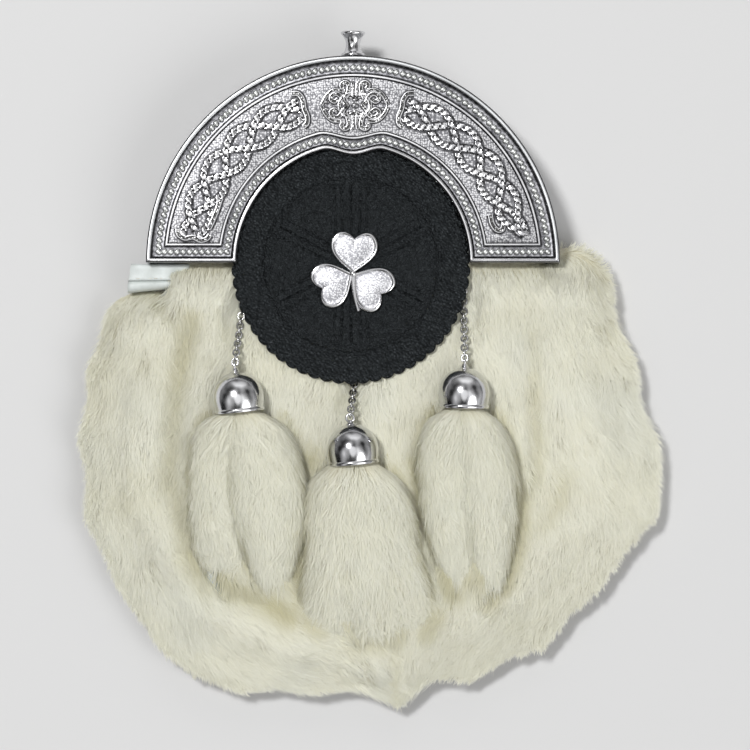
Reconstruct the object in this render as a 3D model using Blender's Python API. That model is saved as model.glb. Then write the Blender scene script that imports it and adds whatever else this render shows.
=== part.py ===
"""Dress sporran: a fur pouch with a cast cantle, a round leather flap and three tassels.

It lies on its back. X runs across it, +Y runs up towards the knob and +Z points out of its front.
The origin is the centre of the flat patch of the belly that it rests on. The shapes are worked out
from the centre of the cantle's half circle, and each is moved to the origin when it is finished.
"""

import math

import bmesh
import bpy
from mathutils import Matrix, Vector

MM = 0.001

# ---- Driving dimensions -------------------------------------------------------------------------
GAP = 0.3 * MM  # left between pieces that touch
LEATHER = 1.8 * MM

CANTLE_RADIUS = 72.5 * MM
CANTLE_INNER = 40.8 * MM
CANTLE_BULGE = 3.2 * MM  # how far the inner edge dips at the top, round the medallion
BULGE_ANGLE = math.radians(15)  # half the angle that the dip takes
CANTLE_WALL = 1.3 * MM

FLAP_RADIUS = 42.0 * MM
FLAP_CENTRE = Vector((-0.7 * MM, -0.7 * MM))
SCALLOPS = 48
SCALLOP_DEPTH = 0.9 * MM
PANEL_RADIUS = 30 * MM
PANEL_RISE = 0.6 * MM

# Levels above the surface that the part lies on
KEEPER_TOP = 6.2 * MM
BACK_UNDER = KEEPER_TOP + GAP
BACK_TOP = BACK_UNDER + LEATHER
FRAME_UNDER = 4.9 * MM
WALL_UNDER = 13.3 * MM
WALL_TOP = WALL_UNDER + 1.7 * MM
SPLIT = 13.7 * MM  # where the cantle meets the rear frame
FLAP_UNDER = 20.0 * MM
FLAP_TOP = 22.4 * MM
CANTLE_UNDER = FLAP_TOP + 0.4 * MM
CANTLE_FIELD = 24.1 * MM
CANTLE_RIM = 24.9 * MM

BELLY = Vector((0.0, -95 * MM))  # where the front is fullest
BELLY_SPAN = Vector((80 * MM, 45 * MM))
BELLY_RISE = 4.5 * MM
PATCH = Vector((0.0, -88 * MM))  # where the back touches the surface
PATCH_SPAN = Vector((30 * MM, 24 * MM))
SAG_SPAN = Vector((62 * MM, 49 * MM))

HUB = Vector((0.0, -48 * MM))  # the outlines are measured round this point
PILE = 5.5 * MM  # fur standing on the front wall
FUR_TIP = 8.5 * MM  # level of the outermost tips
FUR_UNDER = 6.0 * MM
COAT_EDGE = -2.9 * MM  # the coat ends here below the cantle's ends
COAT_CIRCLE = CANTLE_INNER - 1.2 * MM  # and on this radius inside the cantle
GUSSET_RIGHT = -57.6 * MM
GUSSET_LOW = -10.9 * MM
SHELL_SECTORS = 30
FUR_SECTORS = 48
FUR_TURN = math.radians(0.75)  # puts a lock on the coat's lowest point

# Reach of the fur's outline from HUB: degrees from +X, millimetres
FUR_OUTLINE = (
    {"angle": -90, "reach": 104.5},
    {"angle": -82, "reach": 110.5},
    {"angle": -74, "reach": 105.5},
    {"angle": -60, "reach": 109.5},
    {"angle": -50, "reach": 111.5},
    {"angle": -40, "reach": 109.5},
    {"angle": -30, "reach": 111.0},
    {"angle": -20, "reach": 114.5},
    {"angle": -10, "reach": 110.5},
    {"angle": 0, "reach": 102.5},
    {"angle": 10, "reach": 98.5},
    {"angle": 20, "reach": 99.0},
    {"angle": 31, "reach": 98.0},
    {"angle": 145, "reach": 84.0},
    {"angle": 155, "reach": 89.0},
    {"angle": 170, "reach": 94.0},
    {"angle": 180, "reach": 95.5},
    {"angle": 200, "reach": 101.5},
    {"angle": 220, "reach": 106.5},
    {"angle": 230, "reach": 110.0},
    {"angle": 240, "reach": 113.5},
    {"angle": 250, "reach": 110.5},
    {"angle": 270, "reach": 104.5},
)

# The coat's rows of locks from the hub outwards: share of the reach, level above or below the pile,
# and how far the lock tips stand out past the hollows between them, in millimetres
COAT_ROWS = (
    {"share": 0.30, "lift": 1.3, "tips": 4.5},
    {"share": 0.36, "lift": -0.9, "tips": 4.5},
    {"share": 0.54, "lift": 1.5, "tips": 6.0},
    {"share": 0.60, "lift": -1.0, "tips": 6.0},
    {"share": 0.78, "lift": 1.5, "tips": 6.0},
    {"share": 0.84, "lift": -0.8, "tips": 6.0},
)
OUTER_TIPS = 4.0 * MM

# Borders of the cantle's face: distance in from its edge and level
CANTLE_BORDER = (
    {"in": 0.0, "level": CANTLE_RIM},
    {"in": 1.7 * MM, "level": CANTLE_RIM},
    {"in": 2.1 * MM, "level": CANTLE_FIELD},
    {"in": 5.8 * MM, "level": CANTLE_FIELD},
    {"in": 6.2 * MM, "level": CANTLE_RIM},
    {"in": 7.1 * MM, "level": CANTLE_FIELD},
)

LINK_WIDTH = 3.7 * MM
LINK_WIRE = 0.9 * MM
LINK_LAP = 1.8 * LINK_WIRE  # how far each link reaches into the next
LEVEL_SHARE = 0.2  # of a chain's length that lies level under the flap
EYE_SIZE = 3.4 * MM

CAP_RADIUS = 9.0 * MM
CAP_LENGTH = 14.2 * MM
CAP_WALL = 1.0 * MM

HINGE_RADIUS = 1.3 * MM
HINGE_LENGTH = 4.6 * MM
HINGE_PLACE = Vector((69.9 * MM, -0.9 * MM, SPLIT))

# The three tassels: where each cap's eye is, the way its cap points, where its chain starts,
# how many links that takes, and its locks, each with its tip, its fullest width and depth
TASSELS = {
    "left": {
        "eye": (-41.3, -36.1, 26.2),
        "points": -84,
        "start": (-38.8, -13.6, 17.5),
        "links": 5,
        "hollow": 22,
        "locks": (
            {"tip": (-46.0, -108.0), "width": 24, "depth": 13, "side": -5},
            {"tip": (-29.5, -115.5), "width": 25, "depth": 14, "side": 4.5},
        ),
    },
    "middle": {
        "eye": (-1.0, -54.3, 27.8),
        "points": -85,
        "start": (1.0, -37.2, 17.5),
        "links": 4,
        "hollow": 21,
        "locks": (
            {"tip": (-11.5, -127.0), "width": 17, "depth": 13, "side": -1},
            {"tip": (0.5, -131.5), "width": 18, "depth": 14, "side": 0},
            {"tip": (13.0, -132.0), "width": 18, "depth": 14, "side": 0},
            {"tip": (24.5, -126.0), "width": 17, "depth": 13, "side": 1},
        ),
    },
    "right": {
        "eye": (39.1, -34.6, 26.2),
        "points": -91,
        "start": (39.0, -8.4, 17.5),
        "links": 6,
        "hollow": 18,
        "locks": (
            {"tip": (37.5, -114.0), "width": 20, "depth": 13, "side": -4},
            {"tip": (48.5, -116.0), "width": 21, "depth": 13, "side": 5},
        ),
    },
}


# ---- Helpers --------------------------------------------------------------------------------------
def clear_scene():
    for obj in list(bpy.data.objects):
        bpy.data.objects.remove(obj)


def make_material(name, colour, roughness, metallic=0.0):
    material = bpy.data.materials.new(name)
    material.use_nodes = True
    shader = material.node_tree.nodes["Principled BSDF"]
    shader.inputs["Base Color"].default_value = (*colour, 1.0)
    shader.inputs["Roughness"].default_value = roughness
    shader.inputs["Metallic"].default_value = metallic
    return material


def finish(name, bm, material=None, split=False):
    """Makes a closed bmesh an object whose faces point out, split into triangles if they are bent."""
    if split:
        bmesh.ops.triangulate(bm, faces=bm.faces)
    bmesh.ops.recalc_face_normals(bm, faces=bm.faces)
    bmesh.ops.translate(bm, verts=bm.verts, vec=Vector((-PATCH.x, -PATCH.y, 0)))
    mesh = bpy.data.meshes.new(name)
    bm.to_mesh(mesh)
    bm.free()
    mesh.shade_smooth()
    mesh.set_sharp_from_angle(angle=math.radians(35))
    if material:
        mesh.materials.append(material)
    obj = bpy.data.objects.new(name, mesh)
    bpy.context.collection.objects.link(obj)
    return obj


def skin(bm, rows, ring=False):
    """Faces between rows of points. A row of one point is a pole. Longer rows at the ends are capped,
    unless ring joins the last row to the first."""
    made = [[bm.verts.new(point) for point in row] for row in rows]
    pairs = list(zip(made, made[1:] + made[:1])) if ring else list(zip(made, made[1:]))
    for low, high in pairs:
        count = max(len(low), len(high))
        for i in range(count):
            j = (i + 1) % count
            if len(low) == 1:
                bm.faces.new((low[0], high[j], high[i]))
            elif len(high) == 1:
                bm.faces.new((low[i], low[j], high[0]))
            else:
                bm.faces.new((low[i], low[j], high[j], high[i]))
    if not ring:
        for row in (made[0], made[-1]):
            if len(row) > 2:
                bm.faces.new(row)


def loft(name, rows, material=None, ring=False, split=False):
    bm = bmesh.new()
    skin(bm, rows, ring)
    return finish(name, bm, material, split)


def prism(name, outline, low, high, material=None):
    """A flat outline of (x, y) between two levels."""
    rows = [[Vector((x, y, level)) for x, y in outline] for level in (low, high)]
    return loft(name, rows, material)


def turned(name, profile, sides, place, material=None):
    """A profile of (distance along the axis, radius) turned round local Z, then placed."""
    rows = []
    for along, radius in profile:
        if radius == 0:
            rows.append([place @ Vector((0, 0, along))])
        else:
            turns = [math.tau * i / sides for i in range(sides)]
            rows.append([place @ Vector((radius * math.cos(t), radius * math.sin(t), along)) for t in turns])
    return loft(name, rows, material)


def tube(name, path, radii, sides, material=None):
    """A round rod along a path that isn't upright, with a radius at each of its points."""
    rows = []
    for i, (point, radius) in enumerate(zip(path, radii)):
        along = (path[min(i + 1, len(path) - 1)] - path[max(i - 1, 0)]).normalized()
        side = along.cross(Vector((0, 0, 1))).normalized()
        up = side.cross(along)
        turns = [math.tau * (k + 0.5) / sides for k in range(sides)]
        rows.append([point + radius * (math.cos(t) * side + math.sin(t) * up) for t in turns])
    return loft(name, rows, material)


def helper(obj):
    """Marks an object that only shapes others."""
    obj.hide_render = True
    obj.display_type = "WIRE"
    return obj


def combine(obj, others, operation):
    for other in others:
        modifier = obj.modifiers.new(operation.title(), "BOOLEAN")
        modifier.operation = operation
        modifier.solver = "EXACT"
        modifier.object = helper(other)
    return obj


def polar(centre, angle, reach):
    return centre.x + reach * math.cos(angle), centre.y + reach * math.sin(angle)


def bump(t):
    """1 at 0, falling smoothly to 0 at 1."""
    return max(0.0, 1 - t * t) ** 2


def around(count, turn=0.0):
    return [-math.pi / 2 + turn + math.tau * i / count for i in range(count)]


# ---- Outlines and levels ----------------------------------------------------------------------------
def shell_reach(angle):
    """Reach of the leather pouch's outline from the hub."""
    rise, run = math.sin(angle), math.cos(angle)
    if rise <= 0:
        return (80 + 15 * rise**2) * MM
    radius = CANTLE_RADIUS - CANTLE_WALL - 0.5 * MM
    arc = -HUB.y * rise + math.sqrt(radius**2 - (HUB.y * run) ** 2)
    if arc * rise > -HUB.y:
        return arc
    side = (80 + 20 * rise**2) * MM
    beside_hinge = (HINGE_PLACE.x - HINGE_LENGTH / 2 - 1.1 * MM) / abs(run)
    return min(side, beside_hinge) if side * rise > -HUB.y - 6 * MM else side


def fur_reach(angle):
    degrees = (math.degrees(angle) + 90) % 360 - 90
    for low, high in zip(FUR_OUTLINE, FUR_OUTLINE[1:]):
        if low["angle"] <= degrees <= high["angle"]:
            share = (degrees - low["angle"]) / (high["angle"] - low["angle"])
            return (low["reach"] + share * (high["reach"] - low["reach"])) * MM
    return FUR_OUTLINE[0]["reach"] * MM


def coat_reach(angle):
    """Reach of the coat: the fur's outline, and below the cantle the edge that the fur is cut to."""
    reach, rise, run = fur_reach(angle), math.sin(angle), math.cos(angle)
    if rise <= 0:
        return reach
    edge = (COAT_EDGE - HUB.y) / rise
    if edge * run < GUSSET_RIGHT:
        return min(reach, (GUSSET_LOW - GAP - HUB.y) / rise)
    if edge * run > CANTLE_RADIUS:
        return reach
    if abs(edge * run) < COAT_CIRCLE:
        edge = -HUB.y * rise + math.sqrt(COAT_CIRCLE**2 - (HUB.y * run) ** 2)
    return min(reach, edge)


def wall_level(x, y):
    """Face of the pouch's front wall."""
    across = math.hypot(x / BELLY_SPAN.x, (y - BELLY.y) / BELLY_SPAN.y)
    return WALL_TOP + BELLY_RISE * bump(across)


def coat_level(x, y):
    return wall_level(x, y) + PILE


def cantle_inner(angle):
    """Radius of the cantle's inner edge, angle measured from +X."""
    off = (angle - math.pi / 2) / BULGE_ANGLE
    return CANTLE_INNER - CANTLE_BULGE * bump(off) if abs(off) < 1 else CANTLE_INNER


# ---- Pouch -------------------------------------------------------------------------------------------
def shell_row(share, inset, level):
    """One ring of the pouch: share of the reach, less an inset, at a level that may vary."""
    row = []
    for angle in around(SHELL_SECTORS):
        x, y = polar(HUB, angle, share * shell_reach(angle) - inset)
        row.append(Vector((x, y, level(x, y) if callable(level) else level)))
    return row


def mouth_cutter():
    """Takes the side wall away along the top arc, which is the pouch's mouth."""
    outline = [(-90 * MM, 1 * MM), (90 * MM, 1 * MM), (90 * MM, 90 * MM), (-90 * MM, 90 * MM)]
    return prism("mouth_cutter", outline, BACK_UNDER, WALL_UNDER - 0.2 * MM)


def pouch_body(material):
    """Front wall and gusset in one dish that opens on the back panel."""
    rim = BACK_TOP + GAP
    wall = WALL_TOP - WALL_UNDER

    def inner(x, y):
        return wall_level(x, y) - wall

    rows = [
        [Vector((HUB.x, HUB.y, wall_level(*HUB)))],
        shell_row(0.45, 0, wall_level),
        shell_row(0.78, 0, wall_level),
        shell_row(1, 5 * MM, wall_level),
        shell_row(1, 0, WALL_TOP - 3.2 * MM),
        shell_row(1, 0, rim),
        shell_row(1, wall, rim),
        shell_row(1, wall, WALL_TOP - 3.6 * MM),
        shell_row(1, 5.4 * MM, inner),
        shell_row(0.78, 0, inner),
        shell_row(0.45, 0, inner),
        [Vector((HUB.x, HUB.y, inner(*HUB)))],
    ]
    body = loft("pouch_body", rows, material)
    return combine(body, [mouth_cutter()], "DIFFERENCE")


def pouch_envelope():
    """The whole space of the pouch and a gap round it, which the coat is hollowed by."""
    margin = 0.8 * MM

    def over(x, y):
        return wall_level(x, y) + GAP

    rows = [
        [Vector((HUB.x, HUB.y, over(*HUB)))],
        shell_row(0.45, 0, over),
        shell_row(0.78, 0, over),
        shell_row(1, 5 * MM, over),
        shell_row(1, -margin, WALL_TOP - 2.7 * MM),
        shell_row(1, -margin, -FUR_UNDER),
    ]
    return loft("pouch_envelope", rows, split=True)


def back_panel(material):
    """Leather back: a flat border, and a belly that sags to a flat patch on the surface."""

    def ellipse_row(span, level):
        turns = around(SHELL_SECTORS)
        return [Vector((PATCH.x + span.x * math.cos(t), PATCH.y + span.y * math.sin(t), level)) for t in turns]

    half = (PATCH_SPAN + SAG_SPAN) / 2
    sag_foot = BACK_UNDER * 0.28
    edge = 0.3 * MM
    rows = [
        [Vector((PATCH.x, PATCH.y, 0))],
        ellipse_row(PATCH_SPAN, 0),
        ellipse_row(half, sag_foot),
        ellipse_row(SAG_SPAN, BACK_UNDER),
        shell_row(1, edge, BACK_UNDER),
        shell_row(1, edge, BACK_TOP),
        ellipse_row(SAG_SPAN, BACK_TOP),
        ellipse_row(half, sag_foot + LEATHER),
        ellipse_row(PATCH_SPAN, LEATHER),
        [Vector((PATCH.x, PATCH.y, LEATHER))],
    ]
    return loft("back_panel", rows, material)


def keeper(name, centre_x, material):
    """Leather loop for the waist strap, its ends flat on the back panel."""
    low, high = 0.0, LEATHER
    foot_low, foot_high = KEEPER_TOP - LEATHER, KEEPER_TOP
    # Y and level along the strap's outer face, then back along its inner face
    outer = ((3, foot_low), (9, foot_low), (13, low), (37, low), (41, foot_low), (47, foot_low))
    inner = ((47, foot_high), (40, foot_high), (36.4, high), (13.6, high), (10, foot_high), (3, foot_high))
    half = 7 * MM
    rows = []
    for side in (-half, half):
        rows.append([Vector((centre_x + side, y * MM, level)) for y, level in outer + inner])
    return loft(name, rows, material)


def gusset_end(material):
    """White leather corner below the cantle's left end: a top plate that turns down the side."""
    top, under, low = 19.2 * MM, 17.4 * MM, 9.0 * MM
    right, left = GUSSET_RIGHT - GAP, -77.4 * MM
    section = ((right, under), (right, top), (left + 1.2 * MM, top), (left, top - 1.2 * MM), (left, low))
    section += ((left + LEATHER, low), (left + LEATHER, under))
    # Y, and how far the fold steps in from the upper band's edge
    upper, fold, drop = -0.9 * MM, -7.0 * MM, 0.6 * MM
    rows = []
    for y, step in ((upper, 0), (fold, 0), (fold - 0.4 * MM, drop), (GUSSET_LOW, drop)):
        rows.append([Vector((x + (step if x < right else 0), y, level - step)) for x, level in section])
    return loft("gusset_end", rows, material)


# ---- Fur ---------------------------------------------------------------------------------------------
def crown_level(x, y, angle):
    """Top of the fur, which rounds down to the tips at its outline."""
    distance = math.hypot(x - HUB.x, y - HUB.y)
    shoulder = min(1.0, max(0.0, (distance / fur_reach(angle) - 0.62) / 0.38))
    return FUR_TIP + (coat_level(x, y) - FUR_TIP) * math.sqrt(1 - shoulder**2)


def coat_row(share, lift, tips):
    """A ring of lock ends. Tips and hollows take turns, so that every second point stands out."""
    row = []
    for i, angle in enumerate(around(FUR_SECTORS, FUR_TURN)):
        out = tips * (0.5 if i % 2 else -0.5)
        x, y = polar(HUB, angle, share * coat_reach(angle) + out)
        row.append(Vector((x, y, crown_level(x, y, angle) + lift * (1 if i % 2 else 0.4))))
    return row


def fur_coat(material, cutters):
    """Pelt with rows of locks, each row lying over the next, hollowed for what it covers and carries."""
    outline, under = [], []
    for i, angle in enumerate(around(FUR_SECTORS, FUR_TURN)):
        reach = coat_reach(angle)
        cut = reach < fur_reach(angle) - 1 * MM  # a cut edge is upright, and a free one runs to tips
        tip = reach if cut else reach - (0 if i % 2 else OUTER_TIPS)
        x, y = polar(HUB, angle, tip)
        outline.append(Vector((x, y, crown_level(x, y, angle) - 1 * MM if cut else FUR_TIP)))
        under.append(Vector((*polar(HUB, angle, tip - (0.3 if cut else 7) * MM), FUR_UNDER)))
    rows = [[Vector((HUB.x, HUB.y, coat_level(*HUB)))]]
    rows += [coat_row(r["share"], r["lift"] * MM, r["tips"] * MM) for r in COAT_ROWS]
    rows += [outline, under, [Vector((HUB.x, HUB.y, FUR_UNDER))]]
    coat = loft("fur_coat", rows, material, split=True)
    return combine(coat, cutters, "DIFFERENCE")


def hinge_nest():
    """The space round the right hinge, which the fur closes up to."""
    left, right = (HINGE_PLACE.x - HINGE_LENGTH / 2 - 0.8 * MM), CANTLE_RADIUS + 0.5 * MM
    outline = [(left, COAT_EDGE - 0.2 * MM), (right, COAT_EDGE - 0.2 * MM), (right, 9 * MM), (left, 9 * MM)]
    return prism("hinge_nest", outline, 0, CANTLE_RIM * 2)


def flap_nest():
    """The space that the flap presses the fur out of."""
    reach = FLAP_RADIUS + 0.8 * MM
    outline = [polar(FLAP_CENTRE, angle, reach) for angle in around(30, 0.03)]
    return prism("flap_nest", outline, FLAP_UNDER - GAP, CANTLE_RIM * 2)


# ---- Cantle, frame and knob ------------------------------------------------------------------------
def cantle_lines(angle_or_end):
    """Yields the face's points in from the outer edge and back to the inner one, for a row at an
    angle, or for a row straight across an end at that distance in from it."""
    is_end, value, mirrored = angle_or_end
    angle = math.radians(2) if is_end else value
    inner = cantle_inner(angle)
    radii = [(CANTLE_RADIUS - b["in"], b) for b in CANTLE_BORDER]
    radii += [(inner + b["in"], b) for b in reversed(CANTLE_BORDER)]
    end = next((b for b in CANTLE_BORDER if is_end and b["in"] == value), None)
    points = []
    for radius, border in radii:
        if is_end:
            x, y = math.sqrt(radius**2 - value**2), value
            nearest = end if end["in"] < border["in"] else border
            x = -x if mirrored else x
        else:
            x, y = radius * math.cos(angle), radius * math.sin(angle)
            nearest = border
        points.append(Vector((x, y, nearest["level"])))
    return points


def cantle_rows():
    ends = [b["in"] for b in CANTLE_BORDER]
    count = 15
    first = math.radians(15)
    angles = [first + (math.pi - 2 * first) * i / count for i in range(count + 1)]
    yield from ((True, distance, False) for distance in ends)
    yield from ((False, angle, False) for angle in angles)
    yield from ((True, distance, True) for distance in reversed(ends))


def cantle(material, relief, hinge_cutters):
    """Cast half ring: a face with borders, and a side wall round the outer edge and at the ends."""
    rows = []
    for row in cantle_rows():
        face = cantle_lines(row)
        outer, inner = face[0], face[-1]
        toward = Vector((outer.x, outer.y)).normalized()

        def at(radius_in, level):
            x, y = outer.x - toward.x * radius_in, outer.y - toward.y * radius_in
            return Vector((x, y, level))

        base = [Vector((inner.x, inner.y, CANTLE_UNDER)), at(CANTLE_WALL + 0.05 * MM, CANTLE_UNDER)]
        base += [at(CANTLE_WALL, SPLIT + GAP / 2), at(0, SPLIT + GAP / 2)]
        rows.append(face + base)
    ring = loft("cantle", rows, material)
    combine(ring, [end_wall(-1), end_wall(1)], "UNION")
    combine(ring, hinge_cutters, "DIFFERENCE")
    return combine(ring, relief, "UNION")


def end_wall(side):
    """Closes the cantle's end down to the fur, beside the flap."""
    first, last = side * (FLAP_RADIUS + 2 * MM), side * (CANTLE_RADIUS - 0.6 * MM)
    low, high = 0.06 * MM, 1.5 * MM
    outline = [(first, low), (last, low), (last, high), (first, high)]
    return prism(f"end_wall_{side}", outline, WALL_TOP + 0.9 * MM, CANTLE_UNDER + 0.5 * MM)


def strap(name, path, sunk, closed=False):
    """A raised strap of the relief: flat-topped, wider at its foot, which is sunk in the face."""
    foot, crest = 1.35 * MM, 0.95 * MM
    base = CANTLE_FIELD - sunk
    rows = []
    count = len(path)
    for i, point in enumerate(path):
        before = path[i - 1] if closed or i else path[i]
        after = path[(i + 1) % count] if closed or i < count - 1 else path[i]
        along = (after - before).normalized()
        side = Vector((along.y, -along.x, 0)).normalized()
        low = Vector((point.x, point.y, base))
        rows.append([low - side * foot, low + side * foot, point + side * crest, point - side * crest])
    return loft(name, rows, ring=closed, split=True)


def plait(side):
    """Three strands woven along the field between the medallion and one end."""
    first, last = math.radians(9.5), math.radians(70)
    swing, waves, strands, steps = 6.1 * MM, 2, 3, 12
    middle = (CANTLE_RADIUS + CANTLE_INNER) / 2
    made = []
    for strand in range(strands):
        path = []
        for i in range(steps + 1):
            share = i / steps
            phase = math.tau * (0.25 + waves * share + strand / strands)
            taper = 1 - 0.35 * (2 * share - 1) ** 4
            radius = middle + swing * taper * math.sin(phase)
            angle = first + (last - first) * share
            level = CANTLE_FIELD + (0.75 + 0.3 * math.sin(2 * phase)) * MM
            path.append(Vector((side * radius * math.cos(angle), radius * math.sin(angle), level)))
        name = f"strand_{'right' if side > 0 else 'left'}_{strand}"
        made.append(strap(name, path, (0.3 + 0.12 * strand) * MM))
    return made


def medallion():
    """An oval ring woven through a four-lobed one, with a boss, at the top of the cantle's face."""
    centre = Vector((0, 54.6 * MM))
    level = CANTLE_FIELD + 0.75 * MM
    oval, lobed = [], []
    for i in range(12):
        t = math.tau * (i + 0.5) / 12
        oval.append(Vector((centre.x + 8.0 * MM * math.cos(t), centre.y + 5.6 * MM * math.sin(t), level)))
    for i in range(16):
        t = math.tau * i / 16
        reach = 0.76 - 0.24 * math.cos(4 * t)
        x, y = centre.x + 14 * MM * reach * math.cos(t), centre.y + 11 * MM * reach * math.sin(t)
        lobed.append(Vector((x, y, level + 0.3 * MM)))
    made = [strap("oval_ring", oval, 0.35 * MM, closed=True), strap("lobed_ring", lobed, 0.45 * MM, closed=True)]
    dome = ((-0.5 * MM, 2.4 * MM), (0.6 * MM, 2.2 * MM), (1.1 * MM, 0))
    made.append(turned("medallion_boss", dome, 10, Matrix.Translation((centre.x, centre.y, CANTLE_FIELD))))
    return made


def back_frame(material, hinge_cutters):
    """Rear half ring: a flat band behind the back panel and a wall up to the cantle."""
    count = 18
    band = 10 * MM
    rows = []
    for i in range(count + 1):
        angle = math.pi * i / count
        way = Vector((math.cos(angle), math.sin(angle)))
        section = (
            (CANTLE_RADIUS - band, FRAME_UNDER),
            (CANTLE_RADIUS - 0.6 * MM, FRAME_UNDER),
            (CANTLE_RADIUS, FRAME_UNDER + 0.6 * MM),
            (CANTLE_RADIUS, SPLIT - GAP / 2),
            (CANTLE_RADIUS - CANTLE_WALL, SPLIT - GAP / 2),
            (CANTLE_RADIUS - CANTLE_WALL, KEEPER_TOP),
            (CANTLE_RADIUS - band, KEEPER_TOP),
        )
        rows.append([Vector((way.x * radius, way.y * radius, level)) for radius, level in section])
    frame = loft("back_frame", rows, material)
    return combine(frame, hinge_cutters, "DIFFERENCE")


def hinge(name, side, material=None, grow=0.0):
    """Hinge barrel along X at a lower corner of the cantle."""
    place = Matrix.Translation((side * HINGE_PLACE.x, HINGE_PLACE.y, HINGE_PLACE.z))
    place @= Matrix.Rotation(math.pi / 2, 4, "Y")
    half = HINGE_LENGTH / 2 + grow
    profile = ((-half, HINGE_RADIUS + grow), (half, HINGE_RADIUS + grow))
    return turned(name, profile, 12, place, material)


def clasp_knob(material):
    """Turned knob: a spread foot, a waist and a wide dished head."""
    place = Matrix.Translation((0, CANTLE_RADIUS + GAP, 19.2 * MM)) @ Matrix.Rotation(-math.pi / 2, 4, "X")
    profile = (
        (0.0, 4.2),
        (0.7, 4.2),
        (1.7, 3.0),
        (4.2, 2.4),
        (6.7, 3.2),
        (7.8, 4.2),
        (8.5, 4.2),
        (8.5, 3.4),
        (7.9, 1.8),
        (7.8, 0),
    )
    return turned("clasp_knob", [(a * MM, r * MM) for a, r in profile], 10, place, material)


# ---- Flap and badge --------------------------------------------------------------------------------
def flap(material):
    """Round leather flap: scalloped edge, and a raised round panel that the badge sits on."""

    def scallop_row(inset, level):
        row = []
        for i, angle in enumerate(around(SCALLOPS * 2)):
            reach = FLAP_RADIUS - inset - (SCALLOP_DEPTH if i % 2 else 0)
            row.append(Vector((*polar(FLAP_CENTRE, angle, reach), level)))
        return row

    disc = loft("flap", [scallop_row(0, FLAP_UNDER), scallop_row(0.2 * MM, FLAP_TOP)], material)
    place = Matrix.Translation((*FLAP_CENTRE, FLAP_TOP))
    profile = ((-0.5 * MM, PANEL_RADIUS), (0, PANEL_RADIUS), (PANEL_RISE, PANEL_RADIUS - PANEL_RISE))
    return combine(disc, [turned("flap_panel", profile, 32, place)], "UNION")


SHAMROCK_CENTRE = Vector((0.0, -3.9 * MM))
SHAMROCK_UNDER = FLAP_TOP + PANEL_RISE + GAP
SHAMROCK_TOP = SHAMROCK_UNDER + 1.3 * MM
LEAVES = (
    {"points": 87, "length": 14.6},
    {"points": 206, "length": 14.2},
    {"points": -36, "length": 14.6},
)


def leaf(index, points, length):
    """A heart with its point at the badge's centre, a raised rim and a sunk face."""
    steps = 15
    scale = length * MM / 28.5  # the curve below is 28.5 long and 32 wide
    turn = Matrix.Rotation(math.radians(points - 90), 2)
    outline = []
    for i in range(steps):
        t = math.tau * i / steps
        x = 16 * math.sin(t) ** 3
        y = 13 * math.cos(t) - 5 * math.cos(2 * t) - 2 * math.cos(3 * t) - math.cos(4 * t) + 16.5
        outline.append(Vector((x, y)) * scale)
    middle = Vector((0, 0.58 * length * MM))

    def row(share, level):
        placed = [SHAMROCK_CENTRE + turn @ (middle + (p - middle) * share) for p in outline]
        return [Vector((p.x, p.y, level)) for p in placed]

    centre = SHAMROCK_CENTRE + turn @ middle
    lift = 0.1 * MM * index  # keeps the leaves' faces apart where they meet
    rows = [
        row(1, SHAMROCK_UNDER + lift),
        row(0.95, SHAMROCK_TOP + lift),
        row(0.82, SHAMROCK_TOP + lift - 0.5 * MM),
        [Vector((centre.x, centre.y, SHAMROCK_TOP + lift - 0.1 * MM))],
    ]
    return loft(f"leaf_{index}", rows)


def shamrock(material):
    """Badge: three leaves, a boss where they meet and a stem."""
    place = Matrix.Translation((*SHAMROCK_CENTRE, SHAMROCK_UNDER))
    dome = ((0.15 * MM, 2.0 * MM), (1.4 * MM, 1.7 * MM), (1.9 * MM, 0.9 * MM), (2.0 * MM, 0))
    badge = turned("shamrock", dome, 12, place, material)
    level = SHAMROCK_UNDER + 0.75 * MM
    stem_line = ((0.0, -4.0), (0.2, -8.0), (0.8, -12.5), (2.0, -17.0))
    stem = tube("stem", [Vector((x * MM, y * MM, level)) for x, y in stem_line], [0.6 * MM] * 4, 6)
    leaves = [leaf(i, row["points"], row["length"]) for i, row in enumerate(LEAVES)]
    return combine(badge, [*leaves, stem], "UNION")


# ---- Chains, caps and tassels ----------------------------------------------------------------------
def point_mm(values):
    return Vector(values) * MM


def chain_line(tassel):
    """Start, end and unit direction of a chain, from its staple to its cap's eye."""
    start, end = point_mm(tassel["start"]), point_mm(tassel["eye"])
    return start, end, (end - start).normalized()


def chain_path(tassel, share):
    """The chain runs flat out from under the flap and then climbs over the fur."""
    start, end, _ = chain_line(tassel)
    point = start.lerp(end, share)
    held = min(max((share - LEVEL_SHARE) / (1 - LEVEL_SHARE), 0.0), 1.0)
    climb = held * held * (3 - 2 * held)
    point.z = start.z + (end.z - start.z) * climb
    return point


def frame_at(origin, along, roll):
    """A matrix with local X along the chain and local Y across it, rolled about it."""
    across = Vector((0, 0, 1)).cross(along).normalized()
    up = along.cross(across)
    basis = Matrix((along, across, up)).transposed().to_4x4()
    return Matrix.Translation(origin) @ basis @ Matrix.Rotation(roll, 4, "X")


def link_path(length, width, place, steps=10):
    """Centre line of an oval link in its own plane."""
    half, bend = length / 2, width / 2
    path = []
    for i in range(steps):
        t = math.tau * (i + 0.5) / steps
        x = (half - bend) * (1 if math.cos(t) > 0 else -1) + bend * math.cos(t)
        path.append(place @ Vector((x, bend * math.sin(t), 0)))
    return path


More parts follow.
